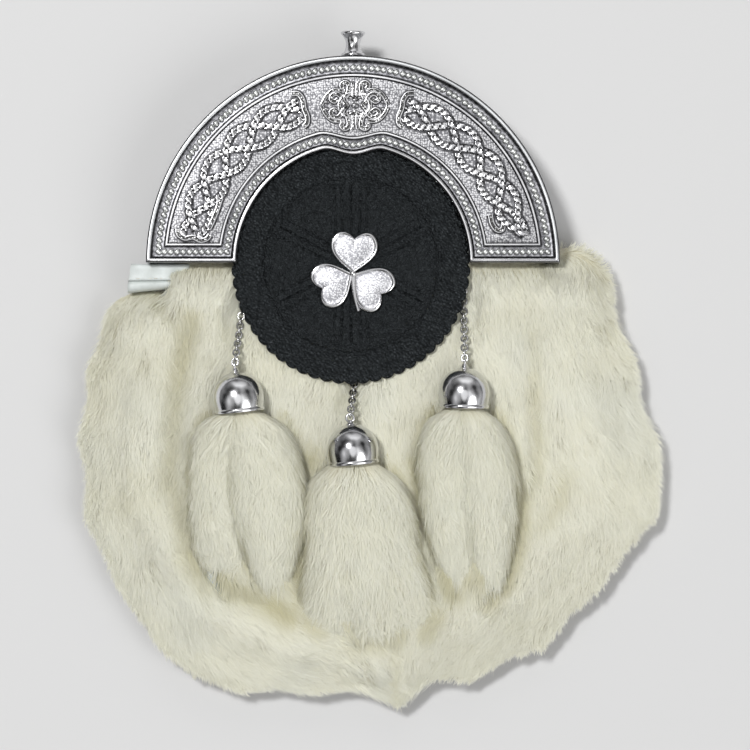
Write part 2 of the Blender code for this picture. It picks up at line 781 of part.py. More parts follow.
def wire_ring(name, path, wire, material=None):
    """A closed wire whose sections stay in step with its own plane."""
    count = len(path)
    centre = sum(path, Vector()) / count
    normal = (path[0] - centre).cross(path[2] - centre).normalized()
    rows = []
    for i, point in enumerate(path):
        along = (path[(i + 1) % count] - path[i - 1]).normalized()
        out = along.cross(normal)
        turns = [math.tau * (k + 0.5) / 5 for k in range(5)]
        rows.append([point + wire / 2 * (math.cos(t) * out + math.sin(t) * normal) for t in turns])
    return loft(name, rows, material, ring=True)


def chain(side, tassel, material):
    """Links from the staple to the cap's eye, every second one on edge."""
    count = tassel["links"]
    fine = [chain_path(tassel, i / 60) for i in range(61)]
    lengths = [0.0]
    for before, after in zip(fine, fine[1:]):
        lengths.append(lengths[-1] + (after - before).length)
    total = lengths[-1]
    # the end links' wires cross the chain's two ends, inside the staple and the eye
    pitch = (total - LINK_LAP + LINK_WIRE) / count
    stretch = pitch + LINK_LAP
    first = (stretch - LINK_WIRE) / 2

    def at(distance):
        i = next(k for k in range(60) if lengths[k + 1] >= distance)
        share = (distance - lengths[i]) / (lengths[i + 1] - lengths[i])
        return fine[i].lerp(fine[i + 1], share), (fine[i + 1] - fine[i]).normalized()

    links = []
    for i in range(count):
        origin, along = at(first + pitch * i)
        place = frame_at(origin, along, math.pi / 2 * (i % 2))
        path = link_path(stretch - LINK_WIRE, LINK_WIDTH - LINK_WIRE, place)
        links.append(wire_ring(f"chain_{side}" if i == 0 else f"link_{side}_{i}", path, LINK_WIRE, material))
    return combine(links[0], links[1:], "UNION")


def chain_nest(side, tassel):
    """Open channel in the fur for a chain, cut through the pelt where the chain starts."""
    room = ((-0.15, 2.8), (0.14, 2.8), (0.35, 2.6), (0.6, 2.8), (0.8, 2.8), (1.1, 2.8))
    across = Vector((0, 0, 1)).cross(chain_line(tassel)[2]).normalized()
    rows = []
    for share, radius in room:
        point = chain_path(tassel, share)
        radius *= MM
        foot, rise = -0.55 * radius, CANTLE_RIM * 2 - point.z
        trough = [(-radius, rise), (-radius, foot), (0, -radius), (radius, foot), (radius, rise)]
        rows.append([point + across * step + Vector((0, 0, level)) for step, level in trough])
    return loft(f"chain_nest_{side}", rows, split=True)


def staple(side, tassel, material):
    """Wire arch over the first link's end, its legs standing on the pelt."""
    start, _, along = chain_line(tassel)
    flat = Vector((along.x, along.y, 0)).normalized()
    wire, half = 0.4 * MM, 1.25 * MM
    foot = wall_level(start.x, start.y) + GAP
    arch = [(-half, foot), (-half, start.z)]
    arch += [(-half * math.cos(t), start.z + 1.15 * MM * math.sin(t)) for t in (0.7, 1.57, 2.44)]
    arch += [(half, start.z), (half, foot)]
    path = [Vector((start.x, start.y, 0)) + flat * step + Vector((0, 0, level)) for step, level in arch]
    rows = []
    across = Vector((-flat.y, flat.x, 0))
    for i, point in enumerate(path):
        run = (path[min(i + 1, len(path) - 1)] - path[max(i - 1, 0)]).normalized()
        out = run.cross(across)
        turns = [math.tau * (k + 0.5) / 5 for k in range(5)]
        rows.append([point + wire * (math.cos(t) * out + math.sin(t) * across) for t in turns])
    return loft(f"staple_{side}", rows, material)


def cap_frame(tassel):
    """Local +Z runs from the eye down the cap."""
    eye = point_mm(tassel["eye"])
    way = math.radians(tassel["points"])
    down = Vector((math.cos(way), math.sin(way), 0))
    across = Vector((0, 0, 1))
    basis = Matrix((across.cross(down), across, down)).transposed().to_4x4()
    return Matrix.Translation(eye) @ basis


CAP_START = 2.2 * MM  # from the eye's centre to the top of the dome


def cap_profile(grow=0.0):
    """Outer face of the cap from its crown to its rim."""
    radius = CAP_RADIUS + grow
    rows = []
    for degrees in (24, 50, 76):
        t = math.radians(degrees)
        rows.append((CAP_START + CAP_RADIUS - radius * math.cos(t), radius * math.sin(t)))
    rows.append((CAP_START + CAP_LENGTH - 1.2 * MM, radius))
    rows.append((CAP_START + CAP_LENGTH, radius + 0.3 * MM))
    return rows


def cap(side, tassel, material):
    """Hollow domed cap with the eye that its chain holds."""
    outer = cap_profile()
    inner = [(along + CAP_WALL * 0.9, radius - CAP_WALL) for along, radius in reversed(outer[:-1])]
    rim = (CAP_START + CAP_LENGTH, CAP_RADIUS - CAP_WALL)
    profile = [(CAP_START - 0.2 * MM, 0), *outer, rim, *inner[1:], (CAP_START + CAP_WALL, 0)]
    place = cap_frame(tassel)
    dome = turned(f"cap_{side}", profile, 12, place, material)
    # the eye is square to the last link
    last_on_edge = (tassel["links"] - 1) % 2 == 1
    roll = 0 if last_on_edge else math.pi / 2
    eye_place = place @ Matrix.Translation((0, 0, 0.35 * MM)) @ Matrix.Rotation(math.pi / 2, 4, "Y")
    eye_place @= Matrix.Rotation(math.pi / 2 - roll, 4, "X")
    eye = wire_ring(f"eye_{side}", link_path(EYE_SIZE + 0.2 * MM, EYE_SIZE, eye_place), LINK_WIRE)
    return combine(dome, [eye], "UNION")


def cap_nest(side, tassel):
    """Room in the fur for a cap and the head of its tassel."""
    radius, end = CAP_RADIUS + 0.9 * MM, CAP_START + CAP_LENGTH + 1.5 * MM
    profile = [(CAP_START - 1 * MM, 0), (CAP_START - 0.5 * MM, radius * 0.55), (CAP_START + 3 * MM, radius)]
    return turned(f"cap_nest_{side}", [*profile, (end, radius)], 12, cap_frame(tassel))


# Along a lock: share of its length, share of its width and of its depth
LOCK_SECTIONS = (
    {"along": 0.0, "width": 0.42, "depth": 0.75},
    {"along": 0.12, "width": 0.62, "depth": 0.9},
    {"along": 0.32, "width": 0.92, "depth": 1.0},
    {"along": 0.55, "width": 1.0, "depth": 0.95},
    {"along": 0.76, "width": 0.72, "depth": 0.72},
    {"along": 0.91, "width": 0.34, "depth": 0.4},
)


def lying_level(x, y, half_depth):
    """Level of a tassel's middle where it lies sunk a little into the fur."""
    return coat_level(x, y) + half_depth - 2.5 * MM


def lock(name, tassel, row):
    """One lock of fur: flattened sections from the cap's rim to its tip."""
    frame = cap_frame(tassel)
    head = frame @ Vector((0, 0, CAP_START + CAP_LENGTH - 1.0 * MM))
    tip = Vector((row["tip"][0] * MM, row["tip"][1] * MM, 0))
    side_way = Vector((1, 0, 0))
    rows = []
    for section in LOCK_SECTIONS:
        share = section["along"]
        half_width = row["width"] * MM * section["width"] / 2
        half_depth = row["depth"] * MM * section["depth"] / 2
        centre = head.lerp(tip, share)
        # the locks swell apart below the cap before their tips draw in
        centre += side_way * row["side"] * MM * math.sin(math.pi * min(1.0, share * 1.15)) * 0.9
        level = lying_level(centre.x, centre.y, row["depth"] * MM * section["depth"] / 2)
        blend = min(1.0, share / 0.4)
        centre.z = head.z * (1 - blend) + level * blend
        turns = [math.tau * k / 7 for k in range(7)]
        ring = [Vector((half_width * math.cos(t), 0, half_depth * math.sin(t))) for t in turns]
        rows.append([centre + p for p in ring])
    tip.z = lying_level(tip.x, tip.y, 3 * MM)
    rows.append([tip])
    return loft(name, rows, split=True)


def tassel_fur(side, tassel, material):
    """Locks fused to a head that fills the cap."""
    frame = cap_frame(tassel)
    room = CAP_RADIUS - CAP_WALL - 1.5 * GAP
    start, end = CAP_START + 5 * MM, CAP_START + CAP_LENGTH + 1.5 * MM
    profile = ((start, room * 0.55), (start + 3 * MM, room * 0.86), (end - 3 * MM, room), (end, room * 0.9))
    head = turned(f"tassel_{side}", profile, 12, frame, material)
    locks = [lock(f"lock_{side}_{i}", tassel, row) for i, row in enumerate(tassel["locks"])]
    return combine(head, locks, "UNION")


def tassel_nest(side, tassel):
    """The hollow that a tassel presses in the fur, open upwards."""
    head = cap_frame(tassel) @ Vector((0, 0, CAP_START + CAP_LENGTH))
    tips = [Vector(row["tip"]) * MM for row in tassel["locks"]]
    first, last, width = tips[0], tips[-1], tassel["hollow"] * MM
    middle = Vector((head.x, head.y)).lerp((first + last) / 2, 0.45)
    spread, end = 5 * MM, min(tip.y for tip in tips) - 3 * MM
    outline = [
        (head.x - 9.5 * MM, head.y + 1 * MM),
        (middle.x - width, middle.y + 12 * MM),
        (middle.x - width, middle.y - 8 * MM),
        (first.x - spread, end),
        (last.x + spread, end),
        (middle.x + width, middle.y - 8 * MM),
        (middle.x + width, middle.y + 12 * MM),
        (head.x + 9.5 * MM, head.y + 1 * MM),
    ]
    low = [Vector((x, y, coat_level(x, y) - 3.3 * MM)) for x, y in outline]
    high = [Vector((x, y, CANTLE_RIM * 2)) for x, y in outline]
    floor = Vector((*middle, coat_level(*middle) - 3.3 * MM))
    return loft(f"tassel_nest_{side}", [[floor], low, high], split=True)


# ---- Assembly ----------------------------------------------------------------------------------------
def main():
    clear_scene()
    white_leather = make_material("white_leather", (0.78, 0.79, 0.76), 0.55)
    black_leather = make_material("black_leather", (0.02, 0.021, 0.023), 0.45)
    fur = make_material("rabbit_fur", (0.80, 0.78, 0.70), 0.9)
    cast_metal = make_material("cast_metal", (0.78, 0.78, 0.80), 0.3, 1.0)
    polished_metal = make_material("polished_metal", (0.85, 0.85, 0.86), 0.12, 1.0)

    pouch_body(white_leather)
    back_panel(black_leather)
    keeper("keeper_left", -30 * MM, black_leather)
    keeper("keeper_right", 30 * MM, black_leather)
    gusset_end(white_leather)

    hinge_cutters = []
    for name, side in (("left", -1), ("right", 1)):
        hinge(f"hinge_{name}", side, polished_metal)
        hinge_cutters.append(hinge(f"hinge_cutter_{name}", side, grow=GAP))
    relief = [*plait(1), *plait(-1), *medallion()]
    cantle(cast_metal, relief, hinge_cutters)
    back_frame(polished_metal, hinge_cutters)
    clasp_knob(polished_metal)
    flap(black_leather)
    shamrock(cast_metal)

    nests = [pouch_envelope(), flap_nest(), hinge_nest()]
    for side, tassel in TASSELS.items():
        staple(side, tassel, polished_metal)
        chain(side, tassel, polished_metal)
        cap(side, tassel, polished_metal)
        tassel_fur(side, tassel, fur)
        nests += [chain_nest(side, tassel), cap_nest(side, tassel), tassel_nest(side, tassel)]
    fur_coat(fur, nests)


main()
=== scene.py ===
import math

import bmesh
import bpy
import numpy as np
from mathutils import Matrix, Vector
from mathutils.bvhtree import BVHTree


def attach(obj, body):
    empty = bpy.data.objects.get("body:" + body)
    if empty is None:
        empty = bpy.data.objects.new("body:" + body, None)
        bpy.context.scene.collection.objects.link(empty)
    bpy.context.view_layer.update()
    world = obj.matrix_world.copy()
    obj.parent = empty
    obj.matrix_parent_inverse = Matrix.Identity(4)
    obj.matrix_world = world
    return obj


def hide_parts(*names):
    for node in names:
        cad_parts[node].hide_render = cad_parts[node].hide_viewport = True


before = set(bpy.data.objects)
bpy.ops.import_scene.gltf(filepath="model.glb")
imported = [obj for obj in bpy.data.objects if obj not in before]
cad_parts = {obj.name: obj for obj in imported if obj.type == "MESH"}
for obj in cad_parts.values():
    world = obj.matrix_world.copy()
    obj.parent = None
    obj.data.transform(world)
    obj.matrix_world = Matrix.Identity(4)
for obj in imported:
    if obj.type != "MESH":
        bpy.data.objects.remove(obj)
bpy.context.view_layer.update()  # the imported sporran: one body, "root"
rng = np.random.default_rng(41)

# Shapes are made in millimetres from the centre of the cantle's half circle, and placed when finished
mm = 0.001
rise = 88.0  # from the resting point up to that centre
toRow = Matrix.Scale(mm, 4) @ Matrix.Translation((0, rise, 0))


# Helpers
def addObject(name, data):
    made = bpy.data.objects.new(name, data)
    bpy.context.scene.collection.objects.link(made)
    return made


def smoothMesh(bm, name, sharp):
    mesh = bpy.data.meshes.new(name)
    bm.to_mesh(mesh)
    bm.free()
    mesh.shade_smooth()
    mesh.set_sharp_from_angle(angle=math.radians(sharp))
    return mesh


def linkPiece(name, mesh, materials, slotName, nodes=()):
    for material in materials:
        mesh.materials.append(material)
    piece = addObject(name, mesh)
    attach(piece, "root")
    if nodes:
        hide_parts(*nodes)
    return piece


def finishPiece(name, bm, materials, slotName, nodes=(), sharp=40, up=False):
    bmesh.ops.remove_doubles(bm, verts=bm.verts, dist=0.002)
    bmesh.ops.recalc_face_normals(bm, faces=bm.faces)
    if up and sum(f.normal.z * f.calc_area() for f in bm.faces) < 0:  # an open sheet faces up
        bmesh.ops.reverse_faces(bm, faces=bm.faces)
    bmesh.ops.transform(bm, matrix=toRow, verts=bm.verts)
    return linkPiece(name, smoothMesh(bm, name, sharp), materials, slotName, nodes)


def solidCopy(node):
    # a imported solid's mesh, its loose triangles merged
    bm = bmesh.new()
    bm.from_mesh(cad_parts[node].data)
    bmesh.ops.remove_doubles(bm, verts=bm.verts, dist=0.00001)
    return bm


def smoothStep(low, high, value):
    t = np.clip((value - low) / (high - low), 0, 1)
    return t * t * (3 - 2 * t)


def unit(vectors):
    return vectors / np.linalg.norm(vectors, axis=-1, keepdims=True)


def runLengths(points):
    # how far along the line each of its points lies
    return np.cumsum([0.0] + [(after - before).length for before, after in zip(points, points[1:])])


def bentGrid(bm, columns, rows, shape, finish=None):
    # a flat grid whose point (column, row) moves to where shape says
    start = len(bm.faces)
    made = bmesh.ops.create_grid(bm, x_segments=columns, y_segments=rows, size=1.0)["verts"]
    for vert in made:
        column = round((vert.co.x + 1) / 2 * columns)
        row = round((vert.co.y + 1) / 2 * rows)
        vert.co = shape(column, row)
        vert.index = column * 10000 + row
    if finish:
        bm.faces.ensure_lookup_table()
        for face in bm.faces[start:]:
            column = min(v.index // 10000 for v in face.verts)
            row = min(v.index % 10000 for v in face.verts)
            face.material_index = finish(column, row)
    bm.verts.index_update()


def turnProfile(bm, profile, steps, place):
    # (along, radius) pairs spun about local Z, then placed
    before = set(bm.verts)
    points = [bm.verts.new((radius, 0, along)) for along, radius in profile]
    edges = [bm.edges.new(pair) for pair in zip(points, points[1:])]
    bmesh.ops.spin(
        bm, geom=points + edges, cent=(0, 0, 0), axis=(0, 0, 1), dvec=(0, 0, 0),
        angle=math.tau, steps=steps, use_merge=True,
    )
    bmesh.ops.transform(bm, matrix=place, verts=[v for v in bm.verts if v not in before])


def softPath(points, steps):
    # a smooth line through the points
    found = []
    last = len(points) - 1
    for i in range(last):
        p = [points[min(max(i + k - 1, 0), last)] for k in range(4)]
        for k in range(steps):
            t = k / steps
            found.append(
                0.5 * (2 * p[1] + (p[2] - p[0]) * t + (2 * p[0] - 5 * p[1] + 4 * p[2] - p[3]) * t * t
                       + (3 * p[1] - p[0] - 3 * p[2] + p[3]) * t ** 3)
            )
    found.append(points[-1].copy())
    return found


def wire(bm, path, thickness, sides=8, closed=False, taper=1.0):
    # a round wire along a path, drawn to a point at its ends if it isn't closed
    count = len(path)
    normal = Vector((0, 0, 1))
    if closed:
        centre = sum(path, Vector()) / count
        normal = (path[0] - centre).cross(path[count // 4] - centre).normalized()
    rings = []
    for i, point in enumerate(path):
        before = path[i - 1] if closed or i else point
        after = path[(i + 1) % count] if closed or i < count - 1 else point
        along = (after - before).normalized()
        out = along.cross(normal).normalized()
        over = out.cross(along)
        size = thickness / 2 * (1 + (taper - 1) * i / max(count - 1, 1))
        rings.append((point, out * size, over * size))
    if closed:
        rings.append(rings[0])
    else:
        nothing = Vector()
        rings = [(rings[0][0], nothing, nothing), *rings, (rings[-1][0], nothing, nothing)]

    def shape(column, row):
        point, out, over = rings[column]
        turn = math.tau * row / sides
        return point + out * math.cos(turn) + over * math.sin(turn)

    bentGrid(bm, len(rings) - 1, sides, shape)


# Camera: straight above, framed as the photograph is
view = {"centre": (7.74, 48.58), "width": 264.0, "distance": 1200.0, "level": 18.0, "sensor": 36.0}
cameraData = bpy.data.cameras.new("camera")
cameraData.sensor_width = view["sensor"]
cameraData.lens = view["sensor"] * view["distance"] / view["width"]
cameraData.clip_start, cameraData.clip_end = 0.01, 20.0
camera = addObject("camera", cameraData)
camera.location = [value * mm for value in (*view["centre"], view["distance"] + view["level"])]
bpy.context.scene.camera = camera
bpy.context.scene.view_settings.view_transform = "Standard"
print("camera set")


# Materials
def feed(tree, node, inputs):
    # a socket is linked, and a plain value is set
    for key, value in inputs.items():
        if isinstance(value, bpy.types.NodeSocket):
            tree.links.new(value, node.inputs[key])
        else:
            node.inputs[key].default_value = value
    return node


def addNode(tree, kind, inputs, **settings):
    node = tree.nodes.new("ShaderNode" + kind)
    for key, value in settings.items():
        setattr(node, key, value)
    return feed(tree, node, inputs)


def newMaterial(name, colour, roughness, metallic=0.0):
    material = bpy.data.materials.new(name)
    material.use_nodes = True
    tree = material.node_tree
    shader = tree.nodes["Principled BSDF"]
    feed(tree, shader, {"Base Color": (*colour, 1.0), "Roughness": roughness, "Metallic": metallic})
    return material, tree, shader


def colourRamp(tree, factor, stops):
    ramp = addNode(tree, "ValToRGB", {"Fac": factor})
    elements = ramp.color_ramp.elements
    for i, (place, colour) in enumerate(stops):
        element = elements[i] if i < 2 else elements.new(place)
        element.position = place
        element.color = (*colour, 1.0)
    return ramp.outputs["Color"]


def spread(tree, value, low, high, ends=(0.0, 1.0)):
    inputs = {"Value": value, "From Min": ends[0], "From Max": ends[1], "To Min": low, "To Max": high}
    return addNode(tree, "MapRange", inputs).outputs["Result"]


def mixColour(tree, factor, one, two):
    return addNode(tree, "Mix", {"Factor": factor, "A": one, "B": two}, data_type="RGBA").outputs[2]


def vectorMath(tree, operation, *values):
    return addNode(tree, "VectorMath", dict(enumerate(values)), operation=operation).outputs


def objectCoords(tree):
    return addNode(tree, "TexCoord", {}).outputs["Object"]


def noiseOf(tree, coords, scale, detail=3.0, roughness=0.5, output="Fac"):
    inputs = {"Vector": coords, "Scale": scale, "Detail": detail, "Roughness": roughness}
    return addNode(tree, "TexNoise", inputs).outputs[output]


def cellsOf(tree, coords, scale, feature="F1", jitter=1.0):
    inputs = {"Vector": coords, "Scale": scale, "Randomness": jitter}
    return addNode(tree, "TexVoronoi", inputs, feature=feature).outputs["Distance"]


def shadeFrom(tree, shader, factor, first, second, edges=(0.3, 0.7)):
    # the base colour turns from the first into the second between the edges
    feed(tree, shader, {"Base Color": colourRamp(tree, factor, zip(edges, (first, second)))})


def bumpFrom(tree, shader, layers):
    # (height, strength, distance in millimetres) one on another
    normal = None
    for height, strength, distance in layers:
        inputs = {"Height": height, "Strength": strength, "Distance": distance * mm}
        if normal:
            inputs["Normal"] = normal
        normal = addNode(tree, "Bump", inputs).outputs["Normal"]
    feed(tree, shader, {"Normal": normal})


def polishedMetal(name, light, dark, smooth):
    material, tree, shader = newMaterial(name, light, smooth, 1.0)
    coords = objectCoords(tree)
    smear = noiseOf(tree, coords, 90.0, 4.0)
    shadeFrom(tree, shader, smear, dark, light)
    feed(tree, shader, {"Roughness": spread(tree, smear, smooth, smooth + 0.12)})
    bumpFrom(tree, shader, [(noiseOf(tree, coords, 420.0, 2.0), 0.2, 0.04)])
    return material


def stippledMetal(name, light, dark, depth, dotScale, dotEdge):
    material, tree, shader = newMaterial(name, light, 0.42, 1.0)
    coords = objectCoords(tree)
    dots = cellsOf(tree, coords, dotScale, jitter=0.7)
    shadeFrom(tree, shader, dots, light, dark, dotEdge)
    feed(tree, shader, {"Roughness": spread(tree, noiseOf(tree, coords, 160.0, 4.0), 0.42, 0.54)})
    bumpFrom(tree, shader, [(dots, 0.8, -depth), (noiseOf(tree, coords, 2400.0, 2.0), 0.2, 0.03)])
    return material


# Metal darkened as painted shade for recesses, channels and undercuts, mottled by a noise
def shadedRecessMetal(name, light, dark):
    material, tree, shader = newMaterial(name, light, 0.4, 1.0)
    shadeMottle = noiseOf(tree, objectCoords(tree), 900.0, 4.0)
    shadeFrom(tree, shader, shadeMottle, dark, light, (0.35, 0.7))
    bumpFrom(tree, shader, [(shadeMottle, 0.5, 0.08)])
    return material


def pebbledLeather(name, dark, light, pebble, roughness, panel=None):
    material, tree, shader = newMaterial(name, dark, roughness)
    coords = objectCoords(tree)
    drift = noiseOf(tree, coords, 420.0, 2.0, output="Color")
    warped = vectorMath(tree, "MULTIPLY_ADD", drift, (0.0011, 0.0011, 0.0011), coords)["Vector"]
    height = cellsOf(tree, warped, pebble)
    if panel:  # smoother inside the panel
        off = vectorMath(tree, "SUBTRACT", coords, panel["centre"])["Vector"]
        reach = vectorMath(tree, "LENGTH", vectorMath(tree, "MULTIPLY", off, (1, 1, 0))["Vector"])["Value"]
        ends = (panel["radius"] - panel["blur"], panel["radius"] + panel["blur"])
        inside, small = spread(tree, reach, 0.4, 1.0, ends), cellsOf(tree, warped, pebble * 1.7)
        height = addNode(tree, "Mix", {"Factor": inside, "A": small, "B": height}).outputs[0]
    # the valleys between pebbles are coloured darker than their tops: painted shade
    shadeFrom(tree, shader, height, light, dark, (0.15, 0.55))
    feed(tree, shader, {
        "Specular IOR Level": 0.27, "Specular Tint": (0.84, 0.94, 1.0, 1.0),
        "Roughness": spread(tree, height, roughness - 0.06, roughness + 0.2),
    })
    bumpFrom(tree, shader, [(height, 1.0, -0.6), (noiseOf(tree, coords, 2600.0, 3.0), 0.25, 0.06)])
    return material


def whiteLeather(name):
    material, tree, shader = newMaterial(name, (0.6, 0.64, 0.6), 0.5)
    coords = objectCoords(tree)
    patches, grain = noiseOf(tree, coords, 130.0, 5.0), cellsOf(tree, coords, 1500.0, "SMOOTH_F1")
    shadeFrom(tree, shader, patches, (0.46, 0.49, 0.47), (0.63, 0.67, 0.66))
    bumpFrom(tree, shader, [(patches, 0.4, 0.5), (grain, 0.5, -0.12)])
    return material


def twistedThread(name):
    material, tree, shader = newMaterial(name, (0.62, 0.61, 0.55), 0.8)
    fibres = noiseOf(tree, objectCoords(tree), 3000.0)
    shadeFrom(tree, shader, fibres, (0.55, 0.54, 0.48), (0.68, 0.67, 0.61))
    bumpFrom(tree, shader, [(fibres, 0.5, 0.05)])
    return material


def furSkin(name):
    material, tree, shader = newMaterial(name, (0.8, 0.78, 0.68), 0.62)
    combed = addNode(tree, "Mapping", {"Vector": objectCoords(tree), "Scale": (1.0, 0.22, 1.0)})
    streaks = noiseOf(tree, combed.outputs["Vector"], 900.0)
    shadeFrom(tree, shader, streaks, (0.64, 0.6, 0.46), (0.82, 0.79, 0.67))
    feed(tree, shader, {"Specular IOR Level": 0.25})
    bumpFrom(tree, shader, [(streaks, 0.8, 0.4)])
    return material


def furStrand(name):
    # the strands' tones: light to root in red, warmth in green (tan painted shade in creases, beside the tassels and
    # on the locks' sides, with random patches on the coat) and coolness in blue
    material, tree, shader = newMaterial(name, (0.8, 0.78, 0.68), 0.62)
    tone = addNode(tree, "VertexColor", {}, layer_name="furTone").outputs["Color"]
    parts = addNode(tree, "SeparateColor", {"Color": tone}).outputs
    stops = ((0.0, (0.76, 0.74, 0.6)), (0.45, (0.865, 0.855, 0.745)), (1.0, (0.925, 0.925, 0.845)))
    warm = mixColour(tree, parts["Green"], colourRamp(tree, parts["Red"], stops), (0.62, 0.585, 0.36, 1.0))
    colour = mixColour(tree, parts["Blue"], warm, (0.84, 0.85, 0.8, 1.0))
    feed(tree, shader, {"Base Color": colour, "Specular IOR Level": 0.25})
    glow = addNode(tree, "BsdfTranslucent", {"Color": colour})
    mix = addNode(tree, "MixShader", {0: 0.42, 1: shader.outputs["BSDF"], 2: glow.outputs["BSDF"]})
    feed(tree, tree.nodes["Material Output"], {"Surface": mix.outputs["Shader"]})
    return material


polished = polishedMetal("polished_plate", (0.78, 0.78, 0.79), (0.6, 0.6, 0.62), 0.1)
castRim = polishedMetal("cast_rim", (0.76, 0.76, 0.77), (0.52, 0.52, 0.54), 0.2)
castEdge = polishedMetal("cast_edge", (0.6, 0.61, 0.62), (0.42, 0.43, 0.44), 0.36)
chainMetal = polishedMetal("chain_plate", (0.6, 0.6, 0.6), (0.36, 0.36, 0.36), 0.16)
castBead = polishedMetal("cast_bead", (0.74, 0.75, 0.74), (0.5, 0.51, 0.5), 0.34)
castField = stippledMetal("cast_field", (0.47, 0.47, 0.48), (0.13, 0.13, 0.14), 0.08, 1300.0, (0.3, 0.6))
castGroove = stippledMetal("cast_groove", (0.8, 0.8, 0.8), (0.05, 0.05, 0.05), 0.1, 1150.0, (0.15, 0.42))
castBadge = stippledMetal("cast_badge", (0.74, 0.74, 0.76), (0.3, 0.3, 0.32), 0.05, 1800.0, (0.3, 0.62))
# painted shade in the cantle's recesses and in its bead channel
recessShade = shadedRecessMetal("cast_recess_shade", (0.12, 0.12, 0.13), (0.02, 0.02, 0.02))
channelShade = shadedRecessMetal("cast_channel_shade", (0.42, 0.42, 0.44), (0.1, 0.1, 0.11))
flapPanel = {"centre": (-0.0007, 0.0873, 0.0), "radius": 0.0316, "blur": 0.0003}
blackLeather = pebbledLeather("black_leather", (0.0008, 0.0009, 0.001), (0.0062, 0.0072, 0.008), 900.0, 0.4, flapPanel)
backLeather = pebbledLeather("back_leather", (0.01, 0.009, 0.008), (0.028, 0.026, 0.024), 1300.0, 0.45)
creamLeather = whiteLeather("white_leather")
thread = twistedThread("thread")
strandFur = furStrand("rabbit_fur")
peltFur = furSkin("rabbit_pelt")
print("materials made")


# Cantle: a cast half ring with bead borders round a stippled field
cantle = {
    "radius": 72.5, "inner": 40.8, "dip": 3.2, "dipAngle": 15.0, "field": 24.1, "dome": 0.25, "wall": 1.1,
    "foot": 13.85, "cornerFoot": 15.4, "endFoot": 15.9, "innerFoot": 22.9, "channel": 23.8,
    "beadPitch": 2.2, "beadSize": 1.1,
    "beadLine": {"outer": 4.2, "inner": 3.55, "end": 3.7}, "scale": {"outer": 1.1, "inner": 0.95, "end": 1.0},
}
borderLine = (  # distance in from an edge, level, and the look of the span beyond it; looks 2 and 3 are painted shade on the channel and the steep slopes
    (0.0, 24.05, 3), (0.12, 24.6, 3), (0.4, 24.88, 1), (0.55, 24.95, 1), (1.15, 24.95, 1), (1.4, 24.78, 3),
    (1.7, 24.2, 3), (2.15, 23.8, 2), (2.8, 23.8, 2), (3.8, 23.78, 2), (4.9, 23.8, 2), (5.35, 23.82, 3),
    (5.8, 24.05, 3), (5.92, 24.6, 1), (6.05, 24.88, 1), (6.5, 24.88, 1), (6.65, 24.5, 3), (7.05, 24.1, 0),
)


def innerEdge(angle):
    off = (angle - math.pi / 2) / math.radians(cantle["dipAngle"])
    dip = max(0.0, 1 - off * off) ** 2 if abs(off) < 1 else 0.0
    return cantle["inner"] - cantle["dip"] * dip


borderSteps = [point[0] for point in borderLine]


def fieldEdges(angle):
    border, scale = borderSteps[-1], cantle["scale"]
    return innerEdge(angle) + border * scale["inner"], cantle["radius"] - border * scale["outer"]


def fieldTop(x, y):
    low, high = fieldEdges(math.atan2(y, x))
    share = np.clip((high - math.hypot(x, y)) / (high - low), 0, 1)
    return cantle["field"] + cantle["dome"] * math.sin(math.pi * share)


def cantlePlate():
    turnAngle, border, middle, arcs, joins = math.radians(15), borderSteps[-1], 16, 170, 6
    scale = cantle["scale"]
    columns = [("outer", step) for step in borderSteps] + [("middle", k / middle) for k in range(1, middle)]
    columns += [("inner", step) for step in reversed(borderSteps)]
    start = [("end", step, 1) for step in borderSteps] + [("join", k / joins, 1) for k in range(1, joins)]
    lines = start + [("arc", turnAngle + (math.pi - 2 * turnAngle) * k / arcs, 1) for k in range(arcs + 1)]
    lines += [(kind, value, -1) for kind, value, _ in reversed(start)]

    def shape(column, row):
        kind, value, side = lines[row]
        edge, share = columns[column]
        angle = value if kind == "arc" else turnAngle
        outer, inner = cantle["radius"], innerEdge(angle)
        low, high = fieldEdges(angle)
        if edge == "middle":
            radius = high + (low - high) * share
        else:
            radius = outer - share * scale["outer"] if edge == "outer" else inner + share * scale["inner"]
        if kind == "arc":
            x, y = radius * math.cos(angle), radius * math.sin(angle)
        else:
            y = value if kind == "end" else border + (radius * math.sin(turnAngle) - border) * value
            x = side * math.sqrt(radius**2 - y * y)
        inward = min((outer - radius) / scale["outer"], (radius - inner) / scale["inner"], y)
        level = np.interp(inward, borderSteps, [point[1] for point in borderLine])
        if edge == "middle" and kind != "end":
            level += cantle["dome"] * math.sin(math.pi * share)
        return Vector((x, y, level))

    def between(one, two):
        return (one[1] + two[1]) / 2 if one[0] == two[0] and one[0] in scale else 99.0

    def finish(column, row):
        across, along = between(columns[column], columns[column + 1]), between(lines[row], lines[row + 1])
        look = borderLine[np.searchsorted(borderSteps[1:], min(across, along))][2]
        return 4 if look == 1 and across < min(along, 1.6) and columns[column][0] == "outer" else look

    bm = bmesh.new()
    bentGrid(bm, len(columns) - 1, len(lines) - 1, shape, finish)
    made = bmesh.ops.extrude_edge_only(bm, edges=[e for e in bm.edges if e.is_boundary])["geom"]
    for part in made:  # the side walls go down to the rear frame, the end walls to the pouch
        if isinstance(part, bmesh.types.BMFace):
            part.material_index = 4
        elif isinstance(part, bmesh.types.BMVert):
            x, y, _ = part.co
            reach = math.hypot(x, y)
            if reach > cantle["radius"] - 0.05:
                part.co.z = cantle["cornerFoot"] if y < 1.3 else cantle["foot"]
            else:
                part.co.z = cantle["endFoot"] if y < 0.05 and reach > 44.6 else cantle["innerFoot"]
    # the channel and recess looks are metal darkened as painted shade
    looks = [castField, castRim, channelShade, recessShade, castEdge]
    plate = finishPiece("cantle_plate", bm, looks, "cast_metal", ("cantle",), up=True)
    thick = plate.modifiers.new("wall", "SOLIDIFY")
    thick.thickness = cantle["wall"] * mm
    thick.offset = -1.0


